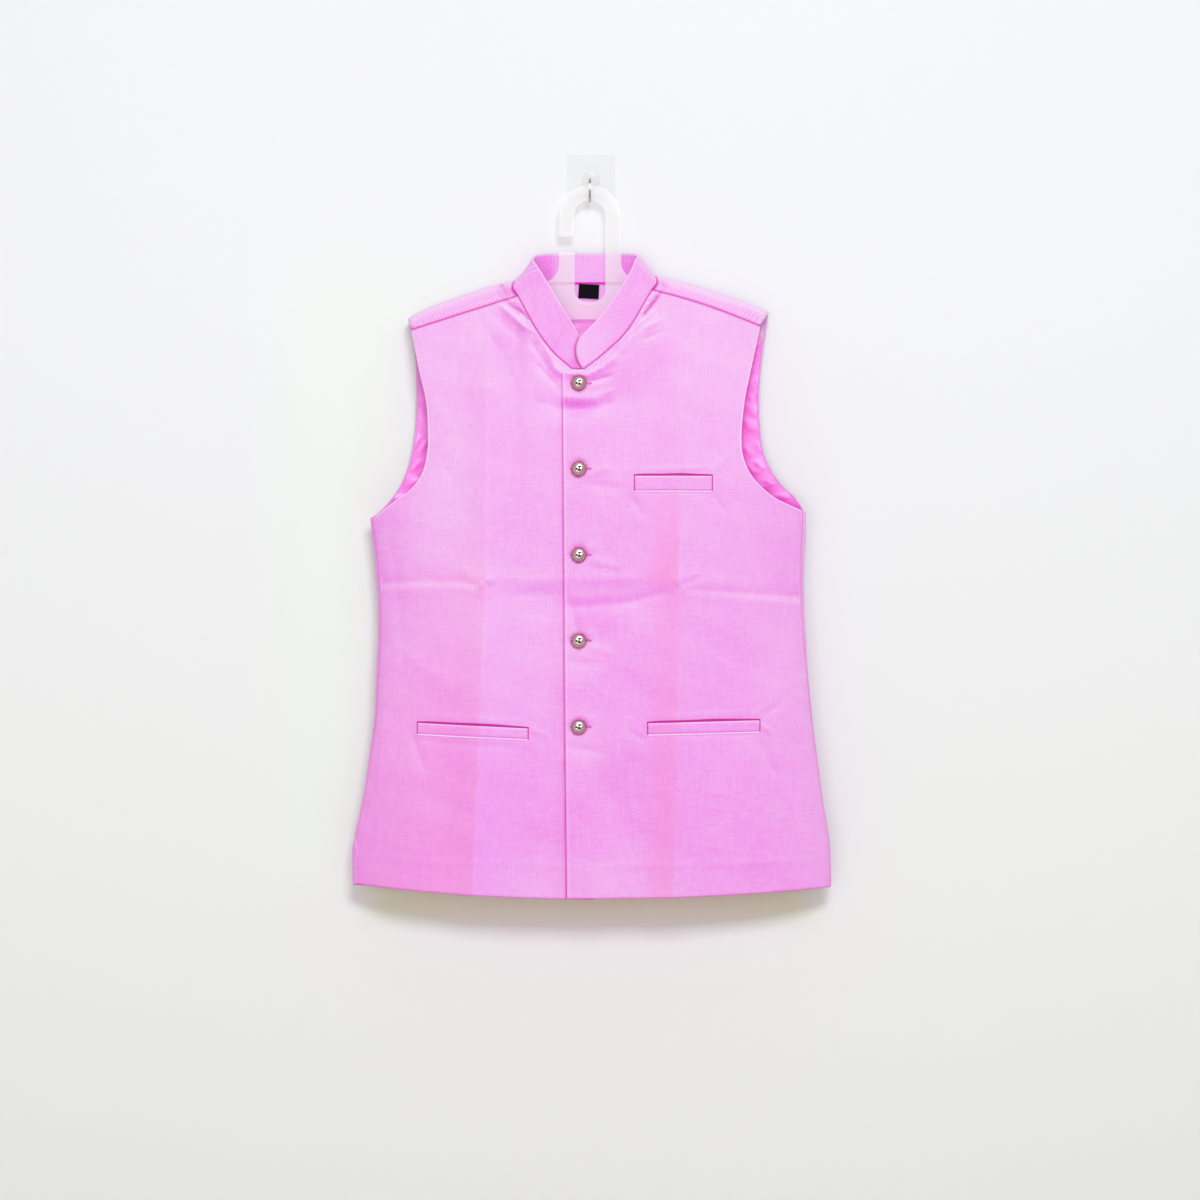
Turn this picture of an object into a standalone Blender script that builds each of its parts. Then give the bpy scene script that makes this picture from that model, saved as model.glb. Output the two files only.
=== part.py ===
"""Sleeveless band-collar jacket, hung on a flat plastic hanger from a stick-on wall hook.

Metres, +Z up. The wall is the plane Y = 0, and the jacket hangs in front of it, towards -Y.
X = 0 is the line that everything hangs on, and Z = 0 the middle of the wall hook's plate.
Left and right in the names of pieces are the wearer's: the left front laps over the right one,
and lies on the +X side.
"""

import math

import bmesh
import bpy
from mathutils import Vector

MM = 0.001

# Cloth
CLOTH = 2.0 * MM  # interlined suiting
LINING = 1.0 * MM
SEAM_GAP = 0.3 * MM
LINING_GAP = 0.8 * MM
HEM_LINING_RISE = 22 * MM
LINING_TOP_DROP = 26 * MM
LINING_ARM_INSET = 3 * MM

# The jacket's outline from the front, in millimetres: a row for each level of the body
BODY_SECTIONS = (
    # level, right side, left side
    (-832, -272, 275.5),
    (-790, -272.5, 275),
    (-762, -270.5, 273),
    (-719, -262, 266),
    (-673, -255, 260),
    (-627, -248.5, 254),
    (-581, -246, 249.5),
    (-535, -244, 246),
    (-489, -244, 244),
    (-443, -247, 244),
    (-397, -253, 246),
)
# Top of the shoulders, where the cloth turns over the hanger: across, level
SHOULDER_LINE = (
    (-211, -165.4),
    (-202.4, -160.2),
    (-187.5, -153.3),
    (-161, -143.5),
    (-126.5, -131.4),
    (-105.8, -125.7),
    (-86.3, -121.1),
    (-60, -118),
    (0, -115),
    (50, -114.5),
    (71.9, -115.9),
    (90.9, -120.5),
    (120.8, -128),
    (148.4, -136.6),
    (182.9, -148.1),
    (204.7, -159),
)
NECK_SIDES = (-87 * MM, 72.5 * MM)
NECK_BULGE = 4.5 * MM  # the neck hole is this much wider just in front of the shoulder's top
NECK_LIFT = 15 * MM  # the shoulders' line is carried on above the neck hole by this much
NECK_BLEND = 16 * MM
BACK_NECK_LEVEL = -124 * MM
SHOULDER_SEAMS = (
    # across and level at the arm, across and level at the neck, how far it bows up
    (-206.4, -178, -84.7, -139, 0),
    (194.4, -173.6, 70.4, -132.2, 3.2),
)
# Armhole edges, from the top of the side seam to the shoulder: across, level
RIGHT_FRONT_ARMHOLE = (
    (-249.3, -395.6),
    (-227, -378),
    (-207, -363.5),
    (-193, -344),
    (-187, -318.4),
    (-186.5, -295.9),
    (-188.5, -262),
    (-197, -225),
    (-206.4, -178),
)
LEFT_FRONT_ARMHOLE = (
    (242.6, -387),
    (227, -380.5),
    (207, -370),
    (185, -349),
    (174, -325.5),
    (172, -300),
    (175.6, -262),
    (182.5, -228),
    (194.4, -173.6),
)
RIGHT_BACK_ARMHOLE = (
    (-252.5, -394.5),
    (-241.5, -386),
    (-223, -362.8),
    (-210.5, -334),
    (-203, -294),
    (-201.5, -253),
    (-203.6, -202),
    (-211, -165.4),
)
LEFT_BACK_ARMHOLE = (
    (246, -388),
    (238, -374.3),
    (220, -357),
    (205, -334),
    (196.7, -305),
    (193.8, -259),
    (197.2, -213),
    (204.7, -159),
)
# Front edges and necklines, from the hem up: across, level
RIGHT_FRONT_EDGE = ((3, -831), (4, -600), (4, -390))
RIGHT_EDGE_TOP = (4, -229)
RIGHT_NECKLINE = (
    (-22.4, -224.2),
    (-45.2, -203.4),
    (-65, -175.6),
    (-84.7, -139),
)
LEFT_FRONT_EDGE = ((-27.6, -830), (-30, -604), (-31.5, -380))
LEFT_EDGE_TOP = (-32, -226)
LEFT_NECKLINE = (
    (-8.5, -225.2),
    (14.3, -207.3),
    (42.1, -179.6),
    (70.4, -132.2),
)
HEM_CORNERS = ((-271, -815), (274.5, -818.5))
HEM_BELLY = 3.5 * MM  # the hem hangs this much lower between its corners
HEM_BELLY_ROWS = 4

# The jacket's depth
RIDGE_Y = -16 * MM  # the plane of the hanger
RIDGE_HALF = 9 * MM  # half the thickness of a shoulder
RIDGE_ROUND = 10 * MM
CHEST_DEPTH = 38 * MM
CHEST_RUN = 120 * MM  # the front comes forward over this length below the shoulder
CHEST_POWER = 1.3
SIDE_LEAD = 2 * MM
SIDE_LEAD_AT_HEM = 5 * MM
UNDERARM_Z = -0.392
HEM_Z = -0.830
SECTION_X_POWER = 0.8  # a superellipse: 1 would be an ellipse, 0 a box
SECTION_Y_POWER = 1.2
SIDE_SEAM_INSET = 3.5 * MM  # the side seam lies this far in from the outline, on the front
SIDE_SEAM_GAP = 0.8 * MM
VENT_TOP = -0.762
VENT_KICK = 5 * MM  # the back stands out by this much below the top of the side vent
VENT_KICK_RUN = 20 * MM  # and gets there over this length
VENT_KICK_POWER = 6  # how quickly that dies away towards the middle of the back
OVERLAP_DROP = CLOTH + 1.2 * MM
OVERLAP_FROM = -64 * MM
OVERLAP_TO = -38 * MM

# Pressed folds and drags: a soft ridge (+) or trough (-) along a line
FRONT_FOLDS = (
    # from x, z, to x, z, half width, height towards the viewer
    (-118, -250, -137, -832, 34, 2.6),
    (101, -250, 95, -832, 34, 2.6),
    (-248, -470, -122, -472, 22, 1.6),
    (98, -470, 246, -484, 22, 1.6),
    (-60, -492, 70, -490, 30, -2.2),
    (-60, -270, 34, -262, 26, -1.6),
    (-80, -150, -46, -196, 12, 2.2),
    (70, -152, 30, -205, 14, -1.8),
    (-205, -690, -218, -832, 48, 3.0),
    (38, -700, 44, -832, 44, -2.4),
    (196, -680, 210, -832, 50, 3.0),
)
BACK_FOLDS = (
    # the same columns, with the height away from the viewer
    (-120, -220, -134, -822, 36, 2.2),
    (99, -220, 95, -822, 36, 2.2),
    (-235, -472, 235, -480, 24, 1.2),
)

BUTTON_LEVELS = [-(241.2 + 98.2 * i) * MM for i in range(5)]
BUTTON_X = -13.9 * MM
BUTTON_RADIUS = 8.2 * MM
BUTTON_DOME = 4.6 * MM
BUTTON_RIM = 1.2 * MM
BUTTON_CLEARANCE = 1.0 * MM
SHANK_RADIUS = 1.2 * MM
BUTTONHOLE = (-3.5 * MM, 15 * MM, 3.2 * MM)  # from, to and height, about its button

WELT_THICK = 1.6 * MM
WELT_GAP = 0.8 * MM
WELTS = {
    # name: inner and outer end across, level of the top at each end, height
    "welt_chest": (50, 140.5, -347, -347, 17.5),
    "welt_hip_right": (-72, -198, -635, -630, 13.2),
    "welt_hip_left": (65, 192.5, -630, -627, 13.6),
}

# Band collar. Its seam edge follows the neck; its free edge runs from the right end to the left.
COLLAR = 2.4 * MM
COLLAR_SEAM_GAP = 0.7 * MM
COLLAR_RIGHT_END = (-11, -225.4)
COLLAR_FREE_EDGE = (
    # across, depth, level
    (-4, -38, -196),
    (-12.4, -37.5, -186.8),
    (-28, -36.5, -161),
    (-43, -33, -136),
    (-56, -28, -114),
    (-66.3, -20.5, -97),
    (-62, -10.5, -91.5),
    (-40, -8.3, -89.6),
    (0, -8, -89.1),
    (35, -8.5, -89.5),
    (52.5, -14.5, -91.5),
    (51, -22.5, -97),
    (44.2, -29, -113.3),
    (32.2, -34.5, -133.2),
    (14.3, -39, -159),
    (-1.5, -42, -176.9),
    (-11.5, -43, -186.9),
)
COLLAR_END_BULGE = 7.4 * MM  # the lapping end, on the left, is rounded

LABEL_WIDTH = 23.5 * MM
LABEL_HEIGHT = 16.5 * MM
LABEL_TOP = (-2.2 * MM, -124.5 * MM)
LABEL_TILT = math.radians(-3)

# Hanger: a flat plate, its hook a wide band round a slot
HANG_X = -1.3 * MM  # it hangs a little off the middle of the wall hook's plate
HANGER = 3 * MM
HOOK_CENTRE_Z = -45.7 * MM
HOOK_INNER = 17.5 * MM
HOOK_OUTER = 36 * MM
HOOK_TIP_Z = -70.7 * MM
POST_TOP_Z = -87.5 * MM
SLOT_BOTTOM_Z = -145 * MM
SLOT_CORNER = 13 * MM
HANGER_FOOT_Z = -165.7 * MM
HANGER_END = 200 * MM
HANGER_END_FOOT_Z = -199 * MM
HANGER_END_CORNER = 15 * MM
HANGER_FOOT_HALF = 60 * MM  # half the length of the straight foot below the slot
HANGER_BEND = 20 * MM  # between each leg of the hook and its arm
HANGER_CHAMFER = 2 * MM
HANGER_NECK_CLEARANCE = 6 * MM  # the arms start this far outside the neck
ARM_CLEARANCE = CLOTH / 2 + 1.4 * MM

# Wall hook: a stuck-on plate with a boss, and a wire hook that hangs in it
PLATE_WIDTH = 56 * MM
PLATE_HEIGHT = 52 * MM
PLATE = 1.4 * MM
PLATE_CORNER = 4 * MM
BOSS_RADIUS = 10.5 * MM
BOSS = 4.2 * MM
BOSS_Z = -3 * MM
WIRE_RADIUS = 1.2 * MM
WIRE_HOLE = WIRE_RADIUS + SEAM_GAP
WIRE_SEAT_Z = HOOK_CENTRE_Z + HOOK_INNER - SEAM_GAP - WIRE_RADIUS
WIRE_BEND = 6.5 * MM
WIRE_TIP_Z = -17 * MM
WIRE_ROOT_Y = -3.4 * MM
WIRE_KNEE = 3.4 * MM


# ---------------------------------------------------------------- small maths

def mixed(a, b, t):
    return a + (b - a) * t


def step(t):
    """0 before 0, 1 after 1, and smooth between."""
    t = min(max(t, 0.0), 1.0)
    return t * t * (3 - 2 * t)


def spline(p, q, r, s, t):
    """A Catmull-Rom curve from q to r."""
    return 0.5 * (
        2 * q + (r - p) * t + (2 * p - 5 * q + 4 * r - s) * t**2 + (3 * q - p - 3 * r + s) * t**3
    )


def smooth_curve(points, finer=12):
    """A close polyline through the points, without corners."""
    ends = [2 * points[0] - points[1], *points, 2 * points[-1] - points[-2]]
    line = [
        spline(*ends[i : i + 4], k / finer) for i in range(len(points) - 1) for k in range(finer)
    ]
    return [*line, points[-1]]


def along(line, share):
    """The point at that share of a polyline's length."""
    lengths = [(b - a).length for a, b in zip(line, line[1:])]
    left = share * sum(lengths)
    for a, b, length in zip(line, line[1:], lengths):
        if left <= length:
            return a.lerp(b, left / length)
        left -= length
    return line[-1].copy()


def flat_curve(rows):
    """A smooth curve through rows of across and level, in millimetres."""
    return smooth_curve([Vector((x, 0, z)) * MM for x, z in rows])


def looked_up(rows, at, column):
    """A column of a table at a value of its first column, with straight lines between rows."""
    for a, b in zip(rows, rows[1:]):
        if at <= b[0]:
            t = min(max((at - a[0]) / (b[0] - a[0]), 0), 1)
            return mixed(a[column], b[column], t)
    return rows[-1][column]


# ------------------------------------------------------- the jacket's surface

def table_in_metres(rows):
    curve = smooth_curve([Vector(row if len(row) == 3 else (*row, 0)) * MM for row in rows])
    return [tuple(point) for point in curve]


BODY_CURVE = table_in_metres(BODY_SECTIONS)
SHOULDER_CURVE = table_in_metres(SHOULDER_LINE)


def girth(z):
    """The middle and the half width of the body at a level. Above the armholes it stays the same."""
    right = looked_up(BODY_CURVE, z, 1)
    left = looked_up(BODY_CURVE, z, 2)
    return (left + right) / 2, (left - right) / 2


def shoulder_z(x):
    """The level of the line that the cloth hangs from. It is lifted where the neck hole is."""
    inside = min(x - NECK_SIDES[0], NECK_SIDES[1] - x)
    return looked_up(SHOULDER_CURVE, x, 1) + NECK_LIFT * step(inside / NECK_BLEND)


def below_shoulder(x, z):
    return max(shoulder_z(x) - z, 0.0)


def turned_over(drop):
    """Half the thickness of the shoulder at that drop below its top: a quarter of an ellipse."""
    t = min(drop / RIDGE_ROUND, 1.0)
    return RIDGE_HALF * math.sqrt(1 - (1 - t) ** 2)


def chest_depth(drop):
    return CHEST_DEPTH * (1 - math.exp(-((drop / CHEST_RUN) ** CHEST_POWER)))


def side_lead(z):
    """How far the sides lie in front of the shoulder's front face."""
    return mixed(SIDE_LEAD, SIDE_LEAD_AT_HEM, step((UNDERARM_Z - z) / (UNDERARM_Z - HEM_Z)))


def section(x, z):
    """0 at the sides of the body and 1 in its middle, as a superellipse."""
    middle, half = girth(z)
    s = min(abs(x - middle) / half, 1.0)
    return (1 - s ** (2 / SECTION_X_POWER)) ** (SECTION_Y_POWER / 2)


def fold_height(folds, x, z):
    """The height of all the folds at a point. It dies away at the jacket's sides."""
    here, total = Vector((x, z)), 0.0
    for x0, z0, x1, z1, half_width, height in folds:
        start, end = Vector((x0, z0)) * MM, Vector((x1, z1)) * MM
        run = end - start
        t = min(max((here - start).dot(run) / run.length_squared, 0.0), 1.0)
        off = (here - start.lerp(end, t)).length / (half_width * MM)
        total += height * MM * (1 - step(off))
    return total * section(x, z)


def front_y(x, z):
    drop = below_shoulder(x, z)
    forward = turned_over(drop) + side_lead(z) * step(drop / CHEST_RUN)
    return RIDGE_Y - forward - chest_depth(drop) * section(x, z) - fold_height(FRONT_FOLDS, x, z)


def back_reach(x, z):
    """How far the back's sides come forward of its middle."""
    drop = below_shoulder(x, z)
    body = shoulder_z(x) - UNDERARM_Z
    return (2 * RIDGE_HALF + side_lead(z)) * min(drop / body, 1.0) ** 1.5


def front_point(x, z):
    return Vector((x, front_y(x, z), z))


def front_normal(x, z):
    """Out of the front's face, towards the viewer."""
    h = 2 * MM
    across = front_point(x + h, z) - front_point(x - h, z)
    up = front_point(x, z + h) - front_point(x, z - h)
    return across.cross(up).normalized()


def under_y(x, z):
    """The front's surface, lowered where the other front laps over it."""
    return front_y(x, z) + OVERLAP_DROP * step((x - OVERLAP_FROM) / (OVERLAP_TO - OVERLAP_FROM))


def back_y(x, z):
    lead = back_reach(x, z) * (1 - section(x, z))
    return RIDGE_Y + turned_over(below_shoulder(x, z)) - lead + fold_height(BACK_FOLDS, x, z)


def seam_angle(z):
    """The section's angle at the side seam. It lies past a quarter turn, on the front."""
    _, half = girth(z)
    return math.pi - math.asin((1 - SIDE_SEAM_INSET / half) ** (1 / SECTION_X_POWER))


def back_section(angle, z, kick=0.0):
    """A point of the back at a level: 0 is its middle, and a quarter turn the side."""
    middle, half = girth(z)
    x = middle + (half + kick) * math.copysign(abs(math.sin(angle)) ** SECTION_X_POWER, angle)
    depth = abs(math.cos(angle)) ** SECTION_Y_POWER
    drop = below_shoulder(x, z)
    side_y = RIDGE_Y + turned_over(drop) - back_reach(x, z)
    if math.cos(angle) >= 0:
        return Vector((x, side_y + back_reach(x, z) * depth + fold_height(BACK_FOLDS, x, z), z))
    return Vector((x, side_y - chest_depth(drop) * depth, z))


def back_inside(angle, z, inset, kick=0.0):
    """The same point, moved into the jacket."""
    h = math.radians(1)
    run = back_section(angle + h, z, kick) - back_section(angle - h, z, kick)
    inward = Vector((run.y, -run.x, 0)).normalized()
    return back_section(angle, z, kick) + inward * inset


# --------------------------------------------------------------- modelling

def clear_scene():
    for obj in list(bpy.data.objects):
        bpy.data.objects.remove(obj)


def finish(name, value, rough, metal=0.0, alpha=1.0):
    """A material in one colour."""
    made = bpy.data.materials.new(name)
    made.use_nodes = True
    shader = made.node_tree.nodes["Principled BSDF"]
    shader.inputs["Base Color"].default_value = (*value, 1)
    shader.inputs["Roughness"].default_value = rough
    shader.inputs["Metallic"].default_value = metal
    shader.inputs["Alpha"].default_value = alpha
    return made


def add_object(name, bm, material):
    mesh = bpy.data.meshes.new(name)
    bm.to_mesh(mesh)
    bm.free()
    mesh.materials.append(material)
    obj = bpy.data.objects.new(name, mesh)
    bpy.context.scene.collection.objects.link(obj)
    return obj


def cloth_grid(columns, rows, place):
    """A bmesh sheet whose corner at column i and row j is at place(i, j)."""
    bm = bmesh.new()
    bmesh.ops.create_grid(bm, x_segments=columns, y_segments=rows, size=1)
    at = {}
    for vert in bm.verts:
        i = round((vert.co.x + 1) / 2 * columns)
        j = round((vert.co.y + 1) / 2 * rows)
        at[i, j] = vert
        vert.co = place(i, j)
    return bm, at


def thicken(obj, thickness):
    """Gives a sheet its thickness, half of it on each side."""
    wall = obj.modifiers.new("thickness", "SOLIDIFY")
    wall.thickness = thickness
    wall.offset = 0
    wall.use_even_offset = True
    wall.use_quality_normals = True
    return obj


def smooth(obj, angle=40):
    obj.data.shade_smooth()
    obj.data.set_sharp_from_angle(angle=math.radians(angle))
    return obj


def cut(obj, cutter):
    """Cuts the cutter's shape out of the object. The cutter itself isn't part of the model."""
    cutter.hide_render = True
    cutter.display_type = "WIRE"
    hole = obj.modifiers.new("cut", "BOOLEAN")
    hole.operation = "DIFFERENCE"
    hole.solver = "EXACT"
    hole.object = cutter


# ------------------------------------------------------------------ panels

def shoulder_seam(side, across):
    """The seam on the front of the shoulder, from the arm to the neck."""
    arm_x, arm_z, neck_x, neck_z, bow = (value * MM for value in SHOULDER_SEAMS[side])
    z = mixed(arm_z, neck_z, across) + bow * math.sin(math.pi * across)
    return Vector((mixed(arm_x, neck_x, across), 0, z))


def neckline_points(neckline):
    """Where the rows of a front meet its neckline."""
    line = flat_curve(neckline)
    return [along(line, k / (NECK_ROWS - 1)) for k in range(NECK_ROWS)]


FRONT_COLUMNS = 15
BODY_ROWS = 15
EDGE_ROWS = 4
NECK_ROWS = 10
SIDE_CROWDING = 1.45  # the columns lie closer together towards the side


def front_panel(name, side, edge, edge_top, neckline, armhole, hem_corner, material, under=False):
    """One front: rows run from the side seam and armhole to the front edge and neckline."""
    sign = 1 if side == "left" else -1
    edge_line = flat_curve(edge)
    corner = Vector((edge_top[0], 0, edge_top[1])) * MM
    upper_edge = [edge_line[-1], corner]
    neck = neckline_points(neckline)
    arm_line = flat_curve(armhole)
    top_rows = EDGE_ROWS + NECK_ROWS

    def side_seam(share):
        z = mixed(hem_corner[1] * MM, arm_line[0].z, share)
        middle, half = girth(z)
        return Vector((middle + sign * (half - SIDE_SEAM_INSET - SIDE_SEAM_GAP), 0, z))

    def row_ends(j):
        if j <= BODY_ROWS:
            return side_seam(j / BODY_ROWS), along(edge_line, j / BODY_ROWS)
        k = j - BODY_ROWS
        outer = along(arm_line, k / top_rows)
        if k <= EDGE_ROWS:
            return outer, along(upper_edge, k / EDGE_ROWS)
        return outer, neck[k - EDGE_ROWS - 1]

    def place(i, j):
        outer, inner = row_ends(j)
        t = (i / FRONT_COLUMNS) ** SIDE_CROWDING
        at = outer.lerp(inner, t)
        at.z -= HEM_BELLY * math.sin(math.pi * t) * max(0.0, 1 - j / HEM_BELLY_ROWS)
        if j == BODY_ROWS + top_rows:
            at = shoulder_seam(0 if side == "right" else 1, t) - Vector((0, 0, SEAM_GAP))
        at.y = under_y(at.x, at.z) if under else front_y(at.x, at.z)
        return at

    bm, _ = cloth_grid(FRONT_COLUMNS, BODY_ROWS + top_rows, place)
    return smooth(thicken(add_object(name, bm, material), CLOTH))


def make_buttonholes(front):
    """Slits through the overlapping front, joined into one cutter."""
    start, end, height = BUTTONHOLE
    bm = bmesh.new()
    for z in BUTTON_LEVELS:
        x = BUTTON_X + (start + end) / 2
        made = bmesh.ops.create_cube(bm, size=1)["verts"]
        bmesh.ops.scale(bm, verts=made, vec=(end - start, 6 * CLOTH, height))
        bmesh.ops.translate(bm, verts=made, vec=front_point(x, z))
    cutter = add_object("buttonhole_cutter", bm, front.data.materials[0])
    cut(front, cutter)


SHOULDER_COLUMNS = 7
NECK_COLUMNS = 10
SIDE_COLUMNS = 2  # columns that wrap the side, and end at the underarm
TOP_COLUMNS = 2 * SHOULDER_COLUMNS + NECK_COLUMNS
BACK_COLUMNS = TOP_COLUMNS + 2 * SIDE_COLUMNS
BACK_BODY_ROWS = 13
SIDE_TURN = 86  # degrees; the section's angle where the armhole leaves the underarm
BACK_ARM_ROWS = (0.07, 0.15, 0.25, 0.38, 0.53, 0.68, 0.82, 0.91)  # shares of the armhole
RIDGE_DROPS = [RIDGE_ROUND * (1 - math.cos(math.radians(angle))) for angle in (90, 60, 30, 0)]
ARM_TOPS = (SHOULDER_LINE[0][0] * MM, SHOULDER_LINE[-1][0] * MM)


def shoulder_columns():
    """Across, where the columns of the back meet the top of the shoulders and the neck."""
    right = [mixed(ARM_TOPS[0], NECK_SIDES[0], i / SHOULDER_COLUMNS) for i in range(SHOULDER_COLUMNS)]
    turns = [math.pi * i / NECK_COLUMNS for i in range(NECK_COLUMNS)]
    neck = [mixed(*NECK_SIDES, (1 - math.cos(turn)) / 2) for turn in turns]
    left = [
        mixed(NECK_SIDES[1], ARM_TOPS[1], i / SHOULDER_COLUMNS) for i in range(SHOULDER_COLUMNS + 1)
    ]
    return [*right, *neck, *left]


def back_top_z(x):
    """The level of the back's upper edge: the top of the shoulders, and the back of the neck."""
    inside = min(x - NECK_SIDES[0], NECK_SIDES[1] - x)
    return mixed(looked_up(SHOULDER_CURVE, x, 1), BACK_NECK_LEVEL, step(inside / NECK_BLEND))


def back_rows(inset=0.0, hem_rise=0.0, top_drop=0.0, arm_inset=0.0):
    """place(i, j) for the back's sheet, or for a sheet inside it, and its number of rows."""
    right_arm = flat_curve(RIGHT_BACK_ARMHOLE)
    left_arm = flat_curve(LEFT_BACK_ARMHOLE)
    tops = shoulder_columns()
    span = ARM_TOPS[1] - ARM_TOPS[0]

    def body_place(i, j):
        share = j / BACK_BODY_ROWS
        t = i / BACK_COLUMNS
        low = mixed(HEM_CORNERS[0][1], HEM_CORNERS[1][1], t) * MM + hem_rise
        high = mixed(right_arm[0].z, left_arm[0].z, t)
        z = mixed(low, high, share) - HEM_BELLY * math.sin(math.pi * t) * (1 - share)
        kick = VENT_KICK * step((VENT_TOP - z) / VENT_KICK_RUN) * abs(2 * t - 1) ** VENT_KICK_POWER
        reach = seam_angle(z)
        return back_inside(mixed(-reach, reach, t), z, inset, kick)

    def top_place(i, share, drop):
        """share is that of the armhole's edge, and drop how far below the top of the shoulder."""
        i = min(max(i - SIDE_COLUMNS, 0), TOP_COLUMNS)
        ends = along(right_arm, share), along(left_arm, share)
        turn = math.radians(mixed(-SIDE_TURN, SIDE_TURN, i / TOP_COLUMNS))
        body = (1 + math.copysign(abs(math.sin(turn)) ** SECTION_X_POWER, turn)) / 2
        level = step(share)
        t = mixed(body, (tops[i] - ARM_TOPS[0]) / span, level)
        x = mixed(ends[0].x + arm_inset, ends[1].x - arm_inset, t)
        edge_z = mixed(ends[0].z, ends[1].z, t)
        if drop is not None:
            z = back_top_z(tops[i]) - top_drop - drop
        else:
            rise = back_top_z(tops[i]) - mixed(shoulder_z(ARM_TOPS[0]), shoulder_z(ARM_TOPS[1]), t)
            z = edge_z + (rise - top_drop) * share**2
        return Vector((x, back_y(x, z) - inset, z))

    top_rows = [(share, None) for share in BACK_ARM_ROWS]
    arm_length = sum((b - a).length for a, b in zip(right_arm, right_arm[1:]))
    top_rows += [(1 - drop / arm_length, drop) for drop in RIDGE_DROPS]

    def place(i, j):
        if j <= BACK_BODY_ROWS:
            return body_place(i, j)
        return top_place(i, *top_rows[j - BACK_BODY_ROWS - 1])

    return BACK_BODY_ROWS + len(top_rows), place


def flap_point(side, across, drop):
    """Over the shoulder, from its top towards the seam in front. No drop means at the seam."""
    top_x = mixed(ARM_TOPS[side], NECK_SIDES[side], across)
    seam = shoulder_seam(side, across)
    top = Vector((top_x, 0, shoulder_z(top_x)))
    share = 1 if drop is None else drop / (top.z - seam.z)
    point = top.lerp(seam, share)
    bulge = NECK_BULGE * math.sin(math.pi * min(share, 1)) * across**6
    point.x += math.copysign(bulge, point.x)
    return front_point(point.x, point.z)


FLAP_DROPS = [*reversed(RIDGE_DROPS[:-1]), None]


def make_back(material):
    rows, place = back_rows()
    bm, at = cloth_grid(BACK_COLUMNS, rows, place)
    for side in (0, 1):
        ends = range(SIDE_COLUMNS, SIDE_COLUMNS + SHOULDER_COLUMNS + 1)
        line = [at[i if side == 0 else BACK_COLUMNS - i, rows] for i in ends]
        for drop in FLAP_DROPS:
            edges = [bm.edges.get(pair) for pair in zip(line, line[1:])]
            made = bmesh.ops.extrude_edge_only(bm, edges=edges)["geom"]
            fresh = [item for item in made if isinstance(item, bmesh.types.BMVert)]
            line = [min(fresh, key=lambda v, near=old: (v.co - near.co).length) for old in line]
            for n, vert in enumerate(line):
                vert.co = flap_point(side, n / SHOULDER_COLUMNS, drop)
    above = range(BACK_BODY_ROWS + 1, rows + 1)
    sides = [*range(SIDE_COLUMNS), *range(BACK_COLUMNS - SIDE_COLUMNS + 1, BACK_COLUMNS + 1)]
    bmesh.ops.delete(bm, geom=[at[i, j] for i in sides for j in above], context="VERTS")
    bmesh.ops.recalc_face_normals(bm, faces=bm.faces)
    return smooth(thicken(add_object("back", bm, material), CLOTH))


def make_lining(material):
    inset = CLOTH / 2 + LINING / 2 + LINING_GAP
    rows, place = back_rows(inset, HEM_LINING_RISE, LINING_TOP_DROP, LINING_ARM_INSET)
    bm, _ = cloth_grid(TOP_COLUMNS, rows, lambda i, j: place(i + SIDE_COLUMNS, j))
    return smooth(thicken(add_object("back_lining", bm, material), LINING))


# ------------------------------------------------------------------ collar

COLLAR_ROWS = 4


def neck_edge():
    """The points that the collar is sewn to, from the middle of the right front round the neck."""
    right_end = Vector((COLLAR_RIGHT_END[0], 0, COLLAR_RIGHT_END[1])) * MM
    right = [right_end, *neckline_points(RIGHT_NECKLINE)]
    left = reversed(neckline_points(LEFT_NECKLINE))
    flaps = [[flap_point(side, 1.0, drop) for drop in FLAP_DROPS[:-1]] for side in (0, 1)]
    tops = shoulder_columns()[SHOULDER_COLUMNS : SHOULDER_COLUMNS + NECK_COLUMNS + 1]
    back = [Vector((x, back_y(x, back_top_z(x)), back_top_z(x))) for x in tops]
    return [
        *[Vector((p.x, under_y(p.x, p.z), p.z)) for p in right],
        *reversed(flaps[0]),
        *back,
        *flaps[1],
        *[front_point(p.x, p.z) for p in left],
    ]


def make_collar(material):
    """The band, from its lower end at the right front, round the neck, to its lapping end."""
    edge = neck_edge()
    free = smooth_curve([Vector(row) * MM for row in COLLAR_FREE_EDGE])
    lengths = [(b - a).length for a, b in zip(edge, edge[1:])]
    sides = []
    for i, here in enumerate(edge):
        above = along(free, sum(lengths[:i]) / sum(lengths))
        run = edge[min(i + 1, len(edge) - 1)] - edge[max(i - 1, 0)]
        rise = above - here
        rise -= run * (rise.dot(run) / run.length_squared)
        sides.append((here + rise.normalized() * COLLAR_SEAM_GAP, above))

    def place(i, j):
        h = j / COLLAR_ROWS
        point = sides[i][0].lerp(sides[i][1], h)
        if i == len(sides) - 1:
            point.x -= COLLAR_END_BULGE * math.sin(math.pi * h) ** 0.8
        return point

    bm, _ = cloth_grid(len(sides) - 1, COLLAR_ROWS, place)
    return smooth(thicken(add_object("collar", bm, material), COLLAR))


# -------------------------------------------------------------- small parts

WELT_COLUMNS = 10


def make_welt(name, row, material):
    """A strip that lies on the front, made from the front's own points moved out."""
    start, end, start_z, end_z, height = (value * MM for value in row)
    out = CLOTH / 2 + WELT_GAP + WELT_THICK / 2

    def place(i, j):
        t = i / WELT_COLUMNS
        x = mixed(start, end, t)
        z = mixed(start_z, end_z, t) - height * (1 - j / 2)
        return front_point(x, z) + front_normal(x, z) * out

    bm, _ = cloth_grid(WELT_COLUMNS, 2, place)
    bmesh.ops.recalc_face_normals(bm, faces=bm.faces)
    return smooth(thicken(add_object(name, bm, material), WELT_THICK))


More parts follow.
